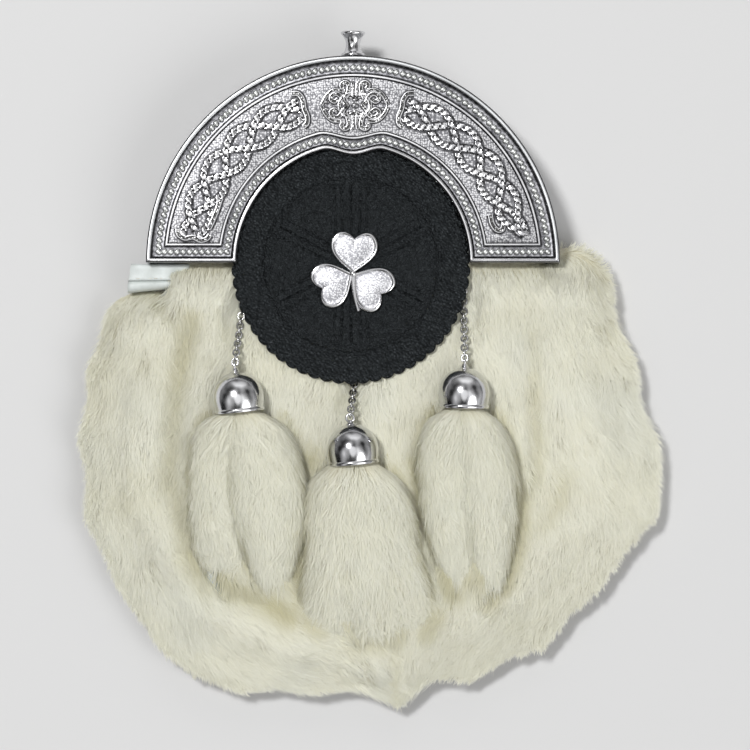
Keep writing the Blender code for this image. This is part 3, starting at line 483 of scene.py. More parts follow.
def cantleBeads(bm):
    line, pitch, fineSteps = cantle["beadLine"], cantle["beadPitch"], 600
    outer = cantle["radius"] - line["outer"]
    beads = []  # where each lies, and its heading
    for reach in (lambda a: outer, lambda a: innerEdge(a) + line["inner"]):
        first = math.asin(line["end"] / reach(0.1))
        fine = [first + (math.pi - 2 * first) * k / fineSteps for k in range(fineSteps + 1)]
        spots = [Vector((reach(a) * math.cos(a), reach(a) * math.sin(a))) for a in fine]
        lengths = runLengths(spots)
        count = round(lengths[-1] / pitch)
        for i in range(count + 1):
            k = min(int(np.searchsorted(lengths, lengths[-1] * i / count)), fineSteps)
            beads.append((*spots[k], fine[k] + math.pi / 2))
    start = math.sqrt((cantle["inner"] + line["inner"]) ** 2 - line["end"] ** 2)
    end = math.sqrt(outer**2 - line["end"] ** 2)
    count = round((end - start) / pitch)
    for side in (-1, 1):
        beads += [(side * (start + (end - start) * i / count), line["end"], 0.0) for i in range(1, count)]
    for x, y, along in beads:
        place = Matrix.Translation((x, y, cantle["channel"] + 0.3))
        place @= Matrix.Rotation(along + math.radians(60), 4, "Z")
        place @= Matrix.Diagonal((*(cantle["beadSize"] * share for share in (1.18, 0.96, 0.85)), 1))
        bmesh.ops.create_icosphere(bm, subdivisions=2, radius=1.0, matrix=place)


# A strap's section: across and up from its crest, with ridged edges, a sunk middle and a foot darkened as painted
# shade
strapHalf = ((-1.8, -0.62), (-1.22, -0.58), (-1.14, -0.1), (-1.0, 0.14), (-0.66, 0.16), (-0.5, -0.2))
strapSection = (*strapHalf, (0.0, -0.26), *((-across, up) for across, up in reversed(strapHalf)))
# index 2 is the recess metal: painted shade
strapFinish = (2, 2, 1, 1, 2, 4, 4, 2, 1, 1, 2, 2, 2)


def strap(bm, path, width=1.0, closed=False, notch=0):
    count = len(path)
    sections = []
    for i, point in enumerate(path):
        before = path[i - 1] if closed or i else point
        after = path[(i + 1) % count] if closed or i < count - 1 else point
        along = after - before
        across = Vector((along.y, -along.x, 0)).normalized()
        sections.append((point, across * width, 1.0))
    if closed:
        sections.append(sections[0])
    else:
        sections = [(sections[0][0], Vector(), 0.0), *sections, (sections[-1][0], Vector(), 0.0)]
    size = len(strapSection)

    def shape(column, row):
        point, across, full = sections[column]
        step, up = strapSection[row % size]
        if notch and abs(step) < 1.2:  # the strand is cut slantwise like rope
            nub = (column + (abs(step) > 0.6) * (1 if step > 0 else -1)) % notch
            up = up + (0.36 if abs(step) < 0.6 else 0.0) if nub else up * 0.4 - 0.2
        spot = point + across * step + Vector((0, 0, up * full if full else -0.5))
        spot.z = max(spot.z, fieldTop(spot.x, spot.y) + (0.03 if full else -0.1))
        return spot

    def finish(column, row):
        # notch faces take the recess metal: painted shade between the nubs
        if notch and 2 <= row <= 9:
            return 1 if (column + (row > 6) - (row < 5)) % notch else 2
        return strapFinish[row]

    bentGrid(bm, len(sections) - 1, size, shape, finish)


plaitShape = {"first": 9.0, "last": 71.0, "swing": 5.1, "turns": 1.6, "steps": 112, "over": 0.42, "lift": 0.8}


def plaitStrand(side, strand):
    # one of three strands, passing over and under the others in turn; the right plait ends in a point
    middle = (cantle["radius"] + cantle["inner"]) / 2
    steps, line = plaitShape["steps"], []
    for k in range(steps + 1):
        share = k / steps
        phase = math.tau * (0.25 + plaitShape["turns"] * share + strand / 3)
        point = (1 - share) ** 10 if side > 0 else 0.0
        taper = 1 - 0.3 * abs(2 * share - 1) ** 4 - 0.6 * point
        radius = middle + 4.2 * point + plaitShape["swing"] * taper * math.sin(phase)
        angle = math.radians(plaitShape["first"] + (plaitShape["last"] - plaitShape["first"]) * share)
        level = cantle["field"] + plaitShape["lift"] + plaitShape["over"] * math.sin(2 * phase)
        line.append(Vector((side * radius * math.cos(angle), radius * math.sin(angle), level)))
    return line


plaitBars = (  # sides, and places along the bar as angle and distance from the centre
    ((-1, 1), ((70.0, 50.6), (71.8, 51.4), (72.6, 53.6), (72.4, 56.6), (72.8, 59.6), (72.0, 62.0), (70.2, 62.8))),
    ((-1,), ((11.0, 51.0), (9.2, 51.8), (8.2, 54.0), (9.0, 56.6), (8.2, 59.4), (9.2, 61.8), (11.0, 62.4))),
    ((-1,), ((26.0, 51.4), (21.0, 51.0), (16.5, 51.2), (13.0, 51.8))),
    ((1,), ((19.0, 50.9), (15.6, 50.6), (12.8, 51.6), (12.4, 53.4), (14.2, 54.4))),
)


def plaitEnds(bm):
    level = cantle["field"] + plaitShape["lift"] + 0.1
    for sides, bar in plaitBars:
        turns = [(math.radians(angle), radius) for angle, radius in bar]
        for side in sides:
            points = [Vector((side * radius * math.cos(at), radius * math.sin(at), level)) for at, radius in turns]
            strap(bm, softPath(points, 6), 0.8)


medallionShape = {"centre": (0.7, 54.9), "level": 25.0, "ringSteps": 72, "ringWidth": 0.56}
medallionStrokes = (  # width, and one quarter of the ornament, right and up from its centre
    (0.72, ((3.4, 2.6), (2.5, 4.4), (2.1, 6.2), (2.4, 7.6), (3.6, 8.1), (4.7, 7.2), (4.2, 5.9))),
    (0.72, ((4.0, 1.2), (4.8, 3.0), (6.3, 4.1), (7.9, 3.6), (8.4, 2.3), (7.2, 1.4), (5.9, 2.2))),
    (0.56, ((4.6, 5.2), (6.8, 5.5), (8.9, 4.5), (10.5, 2.6), (11.6, 0.3))),
    (0.42, ((0.75, 3.4), (0.6, 5.4), (0.75, 7.2), (1.1, 8.4))),
)
medallionRings = ((5.4, 4.3, 0.0, 0.0), (4.1, 3.5, 0.32, 0.28))  # half width, half height, lobes, weave
medallionBosses = ((0.0, 0.0, 1.4), (9.9, 1.25, 1.0), (9.9, -1.25, 1.0), (-9.9, 1.25, 1.0), (-9.9, -1.25, 1.0))


def cantleMedallion(bm):
    across, up = medallionShape["centre"]
    level, steps = medallionShape["level"], medallionShape["ringSteps"]
    for width, stroke in medallionStrokes:
        for flipX, flipY in ((-1, -1), (-1, 1), (1, -1), (1, 1)):
            strap(bm, softPath([Vector((across + flipX * x, up + flipY * y, level)) for x, y in stroke], 6), width)
    for reachX, reachY, lobes, weave in medallionRings:
        ring = []
        for k in range(steps):
            t = math.tau * k / steps
            reach = 1 - lobes * math.cos(4 * t)
            x, y = reachX * reach * math.cos(t), reachY * reach * math.sin(t)
            ring.append(Vector((across + x, up + y, level + weave * math.cos(8 * t))))
        strap(bm, ring, medallionShape["ringWidth"], closed=True)
    for x, y, size in medallionBosses:
        boss = Matrix.Translation((across + x, up + y, level - 0.5)) @ Matrix.Diagonal((size, size * 0.8, 0.7, 1))
        bmesh.ops.create_icosphere(bm, subdivisions=3, radius=1.0, matrix=boss)


def cantleRelief():
    bm = bmesh.new()
    cantleBeads(bm)
    for face in bm.faces:
        face.material_index = 3
    for side in (-1, 1):
        for strand in range(3):
            strap(bm, plaitStrand(side, strand), notch=4)
    plaitEnds(bm)
    cantleMedallion(bm)
    # look 2 is metal darkened as painted shade
    looks = [castField, castRim, recessShade, castBead, castGroove, castEdge]
    finishPiece("cantle_relief", bm, looks, "cast_metal", sharp=50)


cantlePlate()
cantleRelief()
print("cantle made")


# Rear half frame, hinges and knob
frameShape = {"radius": 72.5, "band": 10.0, "under": 4.9, "top": 13.55, "wall": 1.3, "inner": 6.2}


def backFrame():
    shape = frameShape
    radius, band, wall = shape["radius"], shape["band"], shape["wall"]
    section = (
        (radius - band, shape["under"] + 0.15), (radius - band + 0.3, shape["under"]),
        (radius - 1.4, shape["under"]), (radius - 0.5, shape["under"] + 0.25), (radius, shape["under"] + 1.1),
        (radius, shape["top"] - 0.25), (radius - 0.25, shape["top"]), (radius - wall, shape["top"]),
        (radius - wall, shape["inner"]), (radius - band, shape["inner"]),
    )
    bm = bmesh.new()
    points = [bm.verts.new((r, 0, z)) for r, z in section]
    face = bm.faces.new(points)
    bmesh.ops.spin(
        bm, geom=[face, *face.edges, *points], cent=(0, 0, 0), axis=(0, 0, 1), dvec=(0, 0, 0),
        angle=math.pi, steps=96, use_merge=False,
    )
    finishPiece("rear_frame", bm, [polished], "polished_metal", ("back_frame",), sharp=35)


hingeShape = {"place": (69.9, -0.9, 13.7), "radius": 1.3, "length": 4.6}


def hingeBarrel(name, side):
    x, y, z = hingeShape["place"]
    half, radius = hingeShape["length"] / 2, hingeShape["radius"]
    place = Matrix.Translation((side * x, y, z)) @ Matrix.Rotation(math.pi / 2, 4, "Y")
    profile = [(-half, 0.0), (-half, 0.55), (-half + 0.25, 0.6), (-half + 0.25, radius - 0.15)]
    for joint in (-0.7, 0.85):
        profile += [(joint - 0.14, radius), (joint, radius - 0.28), (joint + 0.14, radius)]
    profile += [(half - 0.25, radius - 0.15), (half - 0.25, 0.6), (half, 0.55), (half, 0.0)]
    bm = bmesh.new()
    turnProfile(bm, profile, 28, place)
    finishPiece(f"{name}_barrel", bm, [polished], "polished_metal", (name,), sharp=35)


knobProfile = (  # along the knob, radius
    (0.0, 0.0), (0.0, 3.9), (0.15, 4.15), (0.5, 4.2), (0.8, 4.0), (1.05, 3.4), (1.7, 2.95), (2.8, 2.6),
    (4.2, 2.45), (5.4, 2.7), (6.4, 3.15), (7.1, 3.7), (7.55, 4.15), (7.9, 4.3), (8.3, 4.25), (8.5, 3.95),
    (8.45, 3.5), (8.1, 2.8), (7.8, 1.6), (7.75, 0.0),
)


def claspKnob():
    place = Matrix.Translation((0, 72.8, 19.2)) @ Matrix.Rotation(-math.pi / 2, 4, "X")
    bm = bmesh.new()
    turnProfile(bm, knobProfile, 64, place)
    finishPiece("knob", bm, [polished], "polished_metal", ("clasp_knob",), sharp=50)


backFrame()
hingeBarrel("hinge_left", -1)
hingeBarrel("hinge_right", 1)
claspKnob()
for name in ("staple_left", "staple_middle", "staple_right"):
    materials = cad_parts[name].data.materials
    materials.clear()
    materials.append(polished)
print("frame, hinges and knob made")


# Flap: round black leather with a pinked edge and a wheel pressed in it
flapShape = {
    "centre": (-0.7, -0.7), "radius": 42.0, "scallops": 58, "depth": 1.0, "under": 20.0, "top": 22.4,
    "panelRise": 0.6, "panelEdge": (29.4, 30.8), "groove": 0.42, "grooveWidth": 0.34, "rings": (29.0, 31.4, 7.5),
    "spokes": (8.0, 28.6), "roll": 0.55, "rim": 1.05, "inside": 78,
}
wheelSpokes = (  # heading, and how far each pressed line lies from the spoke's middle
    *((heading, (-4.6, -2.6, 0.0, 2.6, 4.6)) for heading in (90, 270)),
    *((heading, (-2.4, 0.0, 2.4)) for heading in (28, 152, 208, 332)),
)
flapEdge = (  # distance in from the scalloped edge, level under the flap's top
    (0.12, -0.12), (0.0, -0.5), (-0.02, -1.2), (0.1, -1.9), (0.4, -2.3), (1.2, -2.4), (14.0, -2.4), (60.0, -2.4),
)


def wheelPress(x, y):
    reach, width = math.hypot(x, y), flapShape["grooveWidth"]
    pressed = sum(math.exp(-(((reach - ring) / width) ** 2)) for ring in flapShape["rings"])
    if flapShape["spokes"][0] < reach < flapShape["spokes"][1]:
        for heading, lines in wheelSpokes:
            turn = math.radians(heading)
            along = x * math.cos(turn) + y * math.sin(turn)
            across = y * math.cos(turn) - x * math.sin(turn)
            if along > 0:
                flare = 1 + 0.012 * along
                pressed += sum(math.exp(-(((across - line * flare) / width) ** 2)) for line in lines)
    return min(pressed, 1.0)


def leatherFlap():
    shape = flapShape
    sectors, inside = shape["scallops"] * 8, shape["inside"]

    def place(column, row):
        turn = math.tau * (column % sectors) / sectors
        wave = abs(math.sin(turn * shape["scallops"] / 2)) ** 0.7
        reach = shape["radius"] - shape["depth"] * (1 - wave)
        if row <= inside:
            share = row / inside
            blend = max((share - 0.9) / 0.1, 0.0)  # the scallops fade in towards the edge
            radius = share * ((shape["radius"] - shape["rim"]) * (1 - blend) + (reach - shape["roll"]) * blend)
            level = shape["top"] + shape["panelRise"] * (1 - smoothStep(*shape["panelEdge"], radius))
            level -= shape["groove"] * wheelPress(radius * math.cos(turn), radius * math.sin(turn))
            level -= 0.25 * smoothStep(39.0, 42.0, radius)
        else:
            away, drop = flapEdge[row - inside - 1]
            radius = max(reach - away, 0.0)
            level = shape["top"] - 0.25 + drop * 0.9
        x, y = radius * math.cos(turn), radius * math.sin(turn)
        return Vector((shape["centre"][0] + x, shape["centre"][1] + y, level))

    bm = bmesh.new()
    bentGrid(bm, sectors, inside + len(flapEdge), place)
    finishPiece("flap_leather", bm, [blackLeather], "black_leather", ("flap",), sharp=70)


leatherFlap()
print("flap made")


# Shamrock badge: three heart leaves with raised rims, a boss and a stem
badge = {"centre": (0.0, -3.9), "under": 23.3, "stem": ((0.0, -4.0), (0.2, -8.0), (0.8, -12.5), (2.0, -17.0))}
leaves = ((87, 14.6), (206, 14.2), (-36, 14.6))  # the way each points, and its length
leafSection = (  # share of the leaf, height
    (1.0, 0.0), (1.0, 0.45), (0.985, 0.95), (0.955, 1.22), (0.92, 1.3), (0.885, 1.2), (0.85, 0.9), (0.82, 0.82),
    (0.7, 0.92), (0.5, 1.08), (0.3, 1.17), (0.15, 1.2), (0.0, 1.2),
)


def badgeLeaf(bm, index, heading, length):
    steps = 72
    scale = length / 26.6
    turn = Matrix.Rotation(math.radians(heading - 90), 2)
    middle = Vector((0, 0.56 * length))
    centre = Vector(badge["centre"])

    def place(column, row):
        t = math.tau * (column % steps) / steps
        share, height = leafSection[row]
        swell = abs(math.sin(t)) ** 2.1 * math.copysign(15.2, math.sin(t))
        lobes = 13 * math.cos(t) - 3.4 * math.cos(2 * t) - 1.7 * math.cos(3 * t) - 0.7 * math.cos(4 * t) + 15.4
        edge = Vector((swell, lobes)) * scale
        spot = centre + turn @ (middle + (edge - middle) * share)
        return Vector((spot.x, spot.y, badge["under"] + height + 0.08 * index))

    bentGrid(bm, steps, len(leafSection) - 1, place, lambda column, row: 1 if row < 6 else 0)


def shamrockBadge():
    bm = bmesh.new()
    for index, (heading, length) in enumerate(leaves):
        badgeLeaf(bm, index, heading, length)
    before = len(bm.faces)
    place = Matrix.Translation((*badge["centre"], badge["under"])) @ Matrix.Diagonal((1.5, 1.5, 1.75, 1))
    bmesh.ops.create_uvsphere(bm, u_segments=24, v_segments=14, radius=1.0, matrix=place)
    level = badge["under"] + 0.75
    stem = softPath([Vector((x, y, level)) for x, y in badge["stem"]], 8)
    wire(bm, stem, 1.15, sides=12, taper=1.25)
    bm.faces.ensure_lookup_table()
    for face in bm.faces[before:]:
        face.material_index = 1
    finishPiece("shamrock_badge", bm, [castBadge, polished], "cast_metal", ("shamrock",), sharp=50)


shamrockBadge()
print("badge made")


# Chains and caps
tassels = {  # the cap's eye, the way the tassel points, where its chain starts, and its links
    "left": {"eye": (-41.3, -36.1, 26.2), "points": -84, "start": (-38.8, -13.6, 17.5), "links": 13},
    "middle": {"eye": (-1.0, -54.3, 27.8), "points": -85, "start": (1.0, -37.2, 17.5), "links": 10},
    "right": {"eye": (39.1, -34.6, 26.2), "points": -91, "start": (39.0, -8.4, 17.5), "links": 15},
}
chainShape = {"width": 2.9, "wire": 0.76, "levelShare": 0.2, "lap": 1.85, "steps": 20}
capShape = {"radius": 9.0, "start": 2.2, "length": 14.2, "eye": 1.35, "eyeWire": 0.85}
capNeck = ((0.9, 0.0), (0.9, 0.8), (1.5, 1.0), (2.1, 1.5), (2.4, 2.1), (2.9, 2.2))  # along, radius
capRim = (  # along from the cap's lower end, and in from its radius
    (-4.0, 0.0), (-2.2, 0.22), (-1.3, 0.4), (-1.1, 0.2), (-0.75, 0.08), (-0.3, 0.12), (0.0, 0.3), (0.0, 0.65),
    (-0.4, 0.85), (-6.0, 1.0),
)


def chainPoint(tassel, share):
    # level under the flap, then climbing over the fur
    start, end = Vector(tassel["start"]), Vector(tassel["eye"])
    point = start.lerp(end, share)
    point.z = start.z + (end.z - start.z) * smoothStep(chainShape["levelShare"], 1.0, share)
    return point


def chainLinks(side, tassel):
    fineSteps, steps = 200, chainShape["steps"]
    fine = [chainPoint(tassel, k / fineSteps) for k in range(fineSteps + 1)]
    lengths = runLengths(fine)
    count, wireSize = tassel["links"], chainShape["wire"]
    lap = chainShape["lap"] * wireSize
    pitch = (lengths[-1] - lap + wireSize) / count
    half = (pitch + lap - wireSize) / 2
    bend = (chainShape["width"] - wireSize) / 2
    bm = bmesh.new()
    for i in range(count):
        k = min(int(np.searchsorted(lengths, half + pitch * i)), fineSteps)
        along = (fine[k] - fine[k - 1]).normalized()
        across = Vector((0, 0, 1)).cross(along).normalized()
        basis = Matrix((along, across, along.cross(across))).transposed().to_4x4()
        place = Matrix.Translation(fine[k]) @ basis @ Matrix.Rotation(math.radians(90 * (i % 2) + 8), 4, "X")
        path = []
        for t in (math.tau * (step + 0.5) / steps for step in range(steps)):
            x = math.copysign(half - bend, math.cos(t)) + bend * math.cos(t)
            path.append(place @ Vector((x, bend * math.sin(t), 0)))
        wire(bm, path, wireSize, sides=8, closed=True)
    finishPiece(f"chain_{side}_links", bm, [chainMetal], "polished_metal", (f"chain_{side}",), sharp=60)


def capFrame(tassel):
    way = math.radians(tassel["points"])
    down = Vector((math.cos(way), math.sin(way), 0))
    across = Vector((0, 0, 1))
    basis = Matrix((across.cross(down), across, down)).transposed().to_4x4()
    return Matrix.Translation(tassel["eye"]) @ basis


def tasselCap(side, tassel):
    radius, start, steps = capShape["radius"], capShape["start"], 24
    end = start + capShape["length"]
    turns = [math.radians(5 * k) for k in range(1, 19)]
    profile = [(start, 0.0)] + [(start + radius * (1 - math.cos(t)), radius * math.sin(t)) for t in turns]
    profile += [(end + along, radius - inward) for along, inward in capRim]
    profile += [(start + 4, radius - 3), (start + 1, 0.0)]
    bm = bmesh.new()
    turnProfile(bm, profile, 72, capFrame(tassel))
    turnProfile(bm, capNeck, 28, capFrame(tassel))
    roll = 90 if tassel["links"] % 2 else 0  # the eye lies across the last link
    place = capFrame(tassel) @ Matrix.Translation((0, 0, 0.1)) @ Matrix.Rotation(math.pi / 2, 4, "Y")
    place @= Matrix.Rotation(math.pi / 2 - math.radians(roll), 4, "X")
    turns = [math.tau * k / steps for k in range(steps)]
    path = [place @ Vector((capShape["eye"] * math.cos(t), capShape["eye"] * math.sin(t), 0)) for t in turns]
    wire(bm, path, capShape["eyeWire"], sides=10, closed=True)
    finishPiece(f"cap_{side}_dome", bm, [polished], "polished_metal", (f"cap_{side}",), sharp=50)


for side, tassel in tassels.items():
    chainLinks(side, tassel)
    tasselCap(side, tassel)
print("chains and caps made")


# Leather parts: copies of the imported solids, softened and grained
leatherParts = (  # solid, piece, material, slot and how far its edges are rounded
    ("pouch_body", "pouch_leather", creamLeather, "white_leather", 0.4),
    ("back_panel", "back_leather", backLeather, "black_leather", 0.5),
    ("keeper_left", "keeper_left_strap", backLeather, "black_leather", 0.35),
    ("keeper_right", "keeper_right_strap", backLeather, "black_leather", 0.35),
)


def softCopy(node, name, material, slotName, bevel):
    bm = solidCopy(node)
    bmesh.ops.dissolve_limit(
        bm, angle_limit=math.radians(1), use_dissolve_boundaries=False, verts=bm.verts, edges=bm.edges, delimit=set(),
    )
    sharp = [e for e in bm.edges if len(e.link_faces) == 2 and e.calc_face_angle(0) > math.radians(50)]
    bmesh.ops.bevel(
        bm, geom=sharp, offset=bevel * mm, offset_type="OFFSET", affect="EDGES", segments=3, profile=0.5,
        material=-1, clamp_overlap=True,
    )
    bmesh.ops.triangulate(bm, faces=[f for f in bm.faces if len(f.verts) > 4])
    bmesh.ops.recalc_face_normals(bm, faces=bm.faces)
    linkPiece(name, smoothMesh(bm, name, 60), [material], slotName, (node,))


for row in leatherParts:
    softCopy(*row)


cornerShape = {"left": -78.2, "right": -57.6, "slant": 0.14, "taper": 0.12, "columns": 26, "stitches": 9}
cornerStitch = ((0, -0.35), (0.15, 0.12), (1.1, 0.12), (1.25, -0.35))  # along, up
cornerSection = (  # along y, level: the turned top strip, the crease, and the strip under it
    (-0.55, 8.6), (-0.6, 15.5), (-0.75, 18.0), (-1.15, 18.9), (-1.9, 19.15), (-2.9, 18.95), (-4.2, 18.6),
    (-5.4, 18.75), (-6.2, 18.9), (-6.65, 18.6), (-6.8, 17.8), (-6.95, 17.3), (-7.2, 17.6), (-7.9, 18.1),
    (-9.0, 18.2), (-10.1, 17.9), (-10.9, 17.2), (-11.4, 15.8), (-11.5, 8.6), (-6.0, 8.6),
)


def gussetCorner():
    shape, columns, size = cornerShape, cornerShape["columns"], len(cornerSection)

    def place(column, row):
        y, z = cornerSection[row % size]
        share = np.clip((column - 1) / (columns - 2), 0, 1)
        lower = smoothStep(-5.0, -11.0, y)
        y += shape["taper"] * y * -1.6 * share * lower
        y += 0.4 + 0.6 * smoothStep(-5.0, -11.0, y)
        left = shape["left"] + shape["slant"] * (y + 0.6)
        x = left + (shape["right"] - left) * share
        z += 0.22 * math.sin(0.9 * x + 0.35 * y) * smoothStep(15.0, 18.0, z)
        edge = min(share, 1 - share) * (columns - 2)
        z -= 0.7 * (1 - smoothStep(0.0, 1.6, edge)) * smoothStep(12.0, 18.0, z)
        if column in (0, columns):  # the ends are closed on their middle line
            y, z = -6.0, 8.6 + (z - 8.6) * 0.5
        return Vector((x, y, z))

    bm = bmesh.new()
    bentGrid(bm, columns, size, place)
    stitches = bmesh.new()
    for k in range(shape["stitches"]):
        x = shape["left"] + 1.9 + 2.1 * k
        path = [Vector((x + along, -5.5 + 0.02 * k, 18.72 + up)) for along, up in cornerStitch]
        wire(stitches, path, 0.32, sides=6)
    finishPiece("gusset_corner_stitches", stitches, [thread], "white_leather", sharp=60)
    finishPiece("gusset_corner", bm, [creamLeather], "white_leather", ("gusset_end",), sharp=60)


gussetCorner()
print("leather parts made")


# Fur: a soft pelt under joined ribbons, combed along a table of headings
flowRows = (  # place, and the way the fur lies there in degrees from +X
    (-82, -24, -98), (-90, -66, -97), (-86, -105, -90), (-71, -133, -72), (-49, -41, -106), (-61, -59, -96),
    (-54, -105, -70), (-36, -126, -45), (-15, -141, -22), (6, -150, -28), (20, -150, -128), (36, -142, -124),
    (59, -126, -112), (83, -105, -96), (101, -83, -64), (90, -55, -62), (80, -20, -70), (68, -4, -80),
    (59, -41, -88), (52, -13, -80), (17, -55, -85), (-22, -48, -96), (-55, -12, -100), (-1, -134, -45),
    (17, -132, -88),
)
creases = (  # depth, width and tan painted shade of each crease, and its line
    (2.6, 4.0, 0.6, ((-57, -20), (-61, -38), (-63, -55), (-64, -73), (-60, -90), (-57, -108), (-52, -115))),
    (1.8, 5.0, 0.9, ((-57, -104), (-50, -109), (-42, -114), (-30, -119.5), (-23, -124))),
    (1.8, 4.5, 0.75, ((-15, -68), (-16.5, -84), (-17.5, -101), (-19, -115))),
    (2.0, 4.0, 0.8, ((23, -69), (25, -87), (30, -104), (35, -116))),
    (1.6, 3.5, 0.7, ((59, -80), (58, -98), (54, -112), (48, -119))),
    (1.3, 3.0, 0.35, ((63, -24), (64, -48), (65, -66), (64, -76))),
    (1.0, 3.0, 0.35, ((75, -73), (73, -84), (66, -92))),
    (1.2, 2.4, 0.3, ((15, -133), (14.5, -144), (14.5, -156))),
    (1.0, 4.0, 0.45, ((0, -133), (10, -134), (23, -121))),
)
bulges = (  # heading from the hub in degrees, its spread, and how far the outline stands out there
    (-14.6, 6.0, 2.6), (13.5, 4.0, 1.2), (209.0, 6.0, 2.2), (226.0, 5.0, 2.6), (240.0, 4.5, 2.2),
    (-28.6, 4.5, 2.2), (-43.0, 3.0, 1.3), (164.0, 6.0, 1.4), (2.8, 2.5, 2.0), (263.0, 5.0, -1.8),
    (26.0, 4.0, -1.4), (-6.0, 3.0, -1.0),
)
furShape = {
    "strands": 150000, "length": (8.0, 13.5), "width": 0.22, "clump": 2.6, "pull": 0.24, "inset": 1.7,
    "pieces": 3, "hub": (0.0, -48.0), "grow": 2.6, "seam": 14.5, "low": (-98.0, -158.0), "high": (108.0, 12.0),
}
tasselShape = {"strands": 25000, "length": (8.0, 15.0), "width": 0.22, "inset": 1.1, "flare": 2.6}
mounds = {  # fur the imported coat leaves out: the left shoulder, and the hump beyond the cantle's right end
    "shoulder": {"centre": (-71.5, -22.0), "across": 16.5, "up": 13.0, "down": 13.0, "base": 5.0, "curve": 0.5},
    "hump": {"centre": (77.0, -12.0), "across": 14.6, "up": 18.0, "down": 24.0, "base": 4.0, "curve": 0.45},
}
strandShares = (0.0, 0.48, 1.0)


def lineDistance(points, line):
    # distance of each point from a line of corners
    nearest = np.full(len(points), 1e9)
    for a, b in zip(line, line[1:]):
        a, b = np.array(a, float), np.array(b, float)
        t = np.clip(((points - a) @ (b - a)) / ((b - a) @ (b - a)), 0, 1)
        nearest = np.minimum(nearest, np.linalg.norm(points - a - t[:, None] * (b - a), axis=1))
    return nearest


def creaseAt(points, paintedShade=False):
    found = np.zeros(len(points))
    # depth sinks the pelt; the warm column is tan painted shade along the crease
    for depth, width, warm, line in creases:
        away = lineDistance(points, line) / width
        found = np.maximum(found, (warm if paintedShade else depth) * np.exp(-(away**2)))
    return found


def flowAt(points):
    total = np.zeros((len(points), 2))
    seam = furShape["seam"]
    for x, y, heading in flowRows:
        weight = 1 / ((points[:, 0] - x) ** 2 + (points[:, 1] - y) ** 2 + 60.0) ** 2
        if y < -136:  # the two coats part along a seam above the lowest tip
            weight = weight * np.where(np.sign(x - seam) == np.sign(points[:, 0] - seam), 1.0, 0.02)
        turn = math.radians(heading)
        total += weight[:, None] * np.array([math.cos(turn), math.sin(turn)])
    return unit(total)


def softPelt(node, name, voxel, smoothing):
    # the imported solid, remeshed and smoothed
    mesh = bpy.data.meshes.new(name)
    whole = solidCopy(node)
    whole.to_mesh(mesh)
    whole.free()
    piece = addObject(name, mesh)
    remesh = piece.modifiers.new("remesh", "REMESH")
    remesh.mode = "VOXEL"
    remesh.voxel_size = voxel * mm
    soften = piece.modifiers.new("soften", "SMOOTH")
    soften.iterations = smoothing
    soften.factor = 0.5
    made = bpy.data.meshes.new_from_object(piece.evaluated_get(bpy.context.evaluated_depsgraph_get()))
    bpy.data.objects.remove(piece)
    bm = bmesh.new()
    bm.from_mesh(made)
    bpy.data.meshes.remove(made)
    bpy.data.meshes.remove(mesh)
    bmesh.ops.transform(bm, matrix=toRow.inverted(), verts=bm.verts)
    return bm


def shapeCoat(bm):
    # what smoothing drew in goes out again, the fur sinks along its creases, and the hair gets its room
    spots = np.array([(v.co.x, v.co.y) for v in bm.verts])
    hub, inset = Vector((*furShape["hub"], 0.0)), furShape["inset"]
    for vert, sink, limit in zip(bm.verts, creaseAt(spots), chainPress(spots)):
        out = vert.co - hub
        out.z = 0
        if out.length > 60:
            heading = math.degrees(math.atan2(out.y, out.x))
            grow = furShape["grow"]
            for middle, width, reach in bulges:
                off = (heading - middle + 180) % 360 - 180
                grow += reach * math.exp(-((off / width) ** 2))
            vert.co += out.normalized() * grow * (1 - smoothStep(12.0, 17.0, vert.co.z))
        if vert.co.z > 11:
            vert.co.z -= sink * smoothStep(11.0, 15.0, vert.co.z)
            vert.co.z = min(vert.co.z, limit + inset)
    bm.normal_update()
    moves = [Vector((v.normal.x * 0.4, v.normal.y * 0.4, v.normal.z)) * inset for v in bm.verts]
    for vert, move in zip(bm.verts, moves):
        vert.co -= move
        vert.co.z = max(vert.co.z, 0.4)


def chainPress(points):
    # the level above which fur is pressed down by the chains lying on it
    limit = np.full(len(points), 99.0)
    for tassel in tassels.values():
        for k in range(0, 41):
            spot = chainPoint(tassel, k / 40)
            away = np.hypot(points[:, 0] - spot.x, points[:, 1] - spot.y)
            limit = np.minimum(limit, spot.z - 1.7 + 0.16 * np.clip(away - 1.0, 0, 99) ** 2)
    return limit


def moundLevel(x, y, mound):
    reach = np.where(y > mound["centre"][1], mound["up"], mound["down"])
    share = 1 - ((x - mound["centre"][0]) / mound["across"]) ** 2 - ((y - mound["centre"][1]) / reach) ** 2
    return np.where(share > 0, mound["base"] + 13.0 * np.clip(share, 0, 1) ** mound["curve"], 0)


def extraLevel(points):
    # fur under the cantle's ends, and the hump beyond its right end
    x, y = points[:, 0], points[:, 1]
    strip = 20.2 - 4.7 * smoothStep(-4.5, 0.6, y) - 7.0 * (1 - smoothStep(-27.0, -17.0, y))
    strip = np.where((y > -27) & (y < 0.7), strip, 0)
    left = np.where((x > -65) & (x < -35), strip - 6.0 * (1 - smoothStep(-65.0, -62.0, x)), 0)
    right = np.where((x > 35) & (x < 84), strip - 2.5 * smoothStep(66.0, 84.0, x), 0)
    hump = moundLevel(x, y, mounds["hump"])
    left = np.maximum(left, moundLevel(x, y, mounds["shoulder"]))
    hump = np.where((x < 73.4) & (y > -0.2), np.minimum(hump, 11.0), hump)
    return np.maximum(np.maximum(left, right), hump)


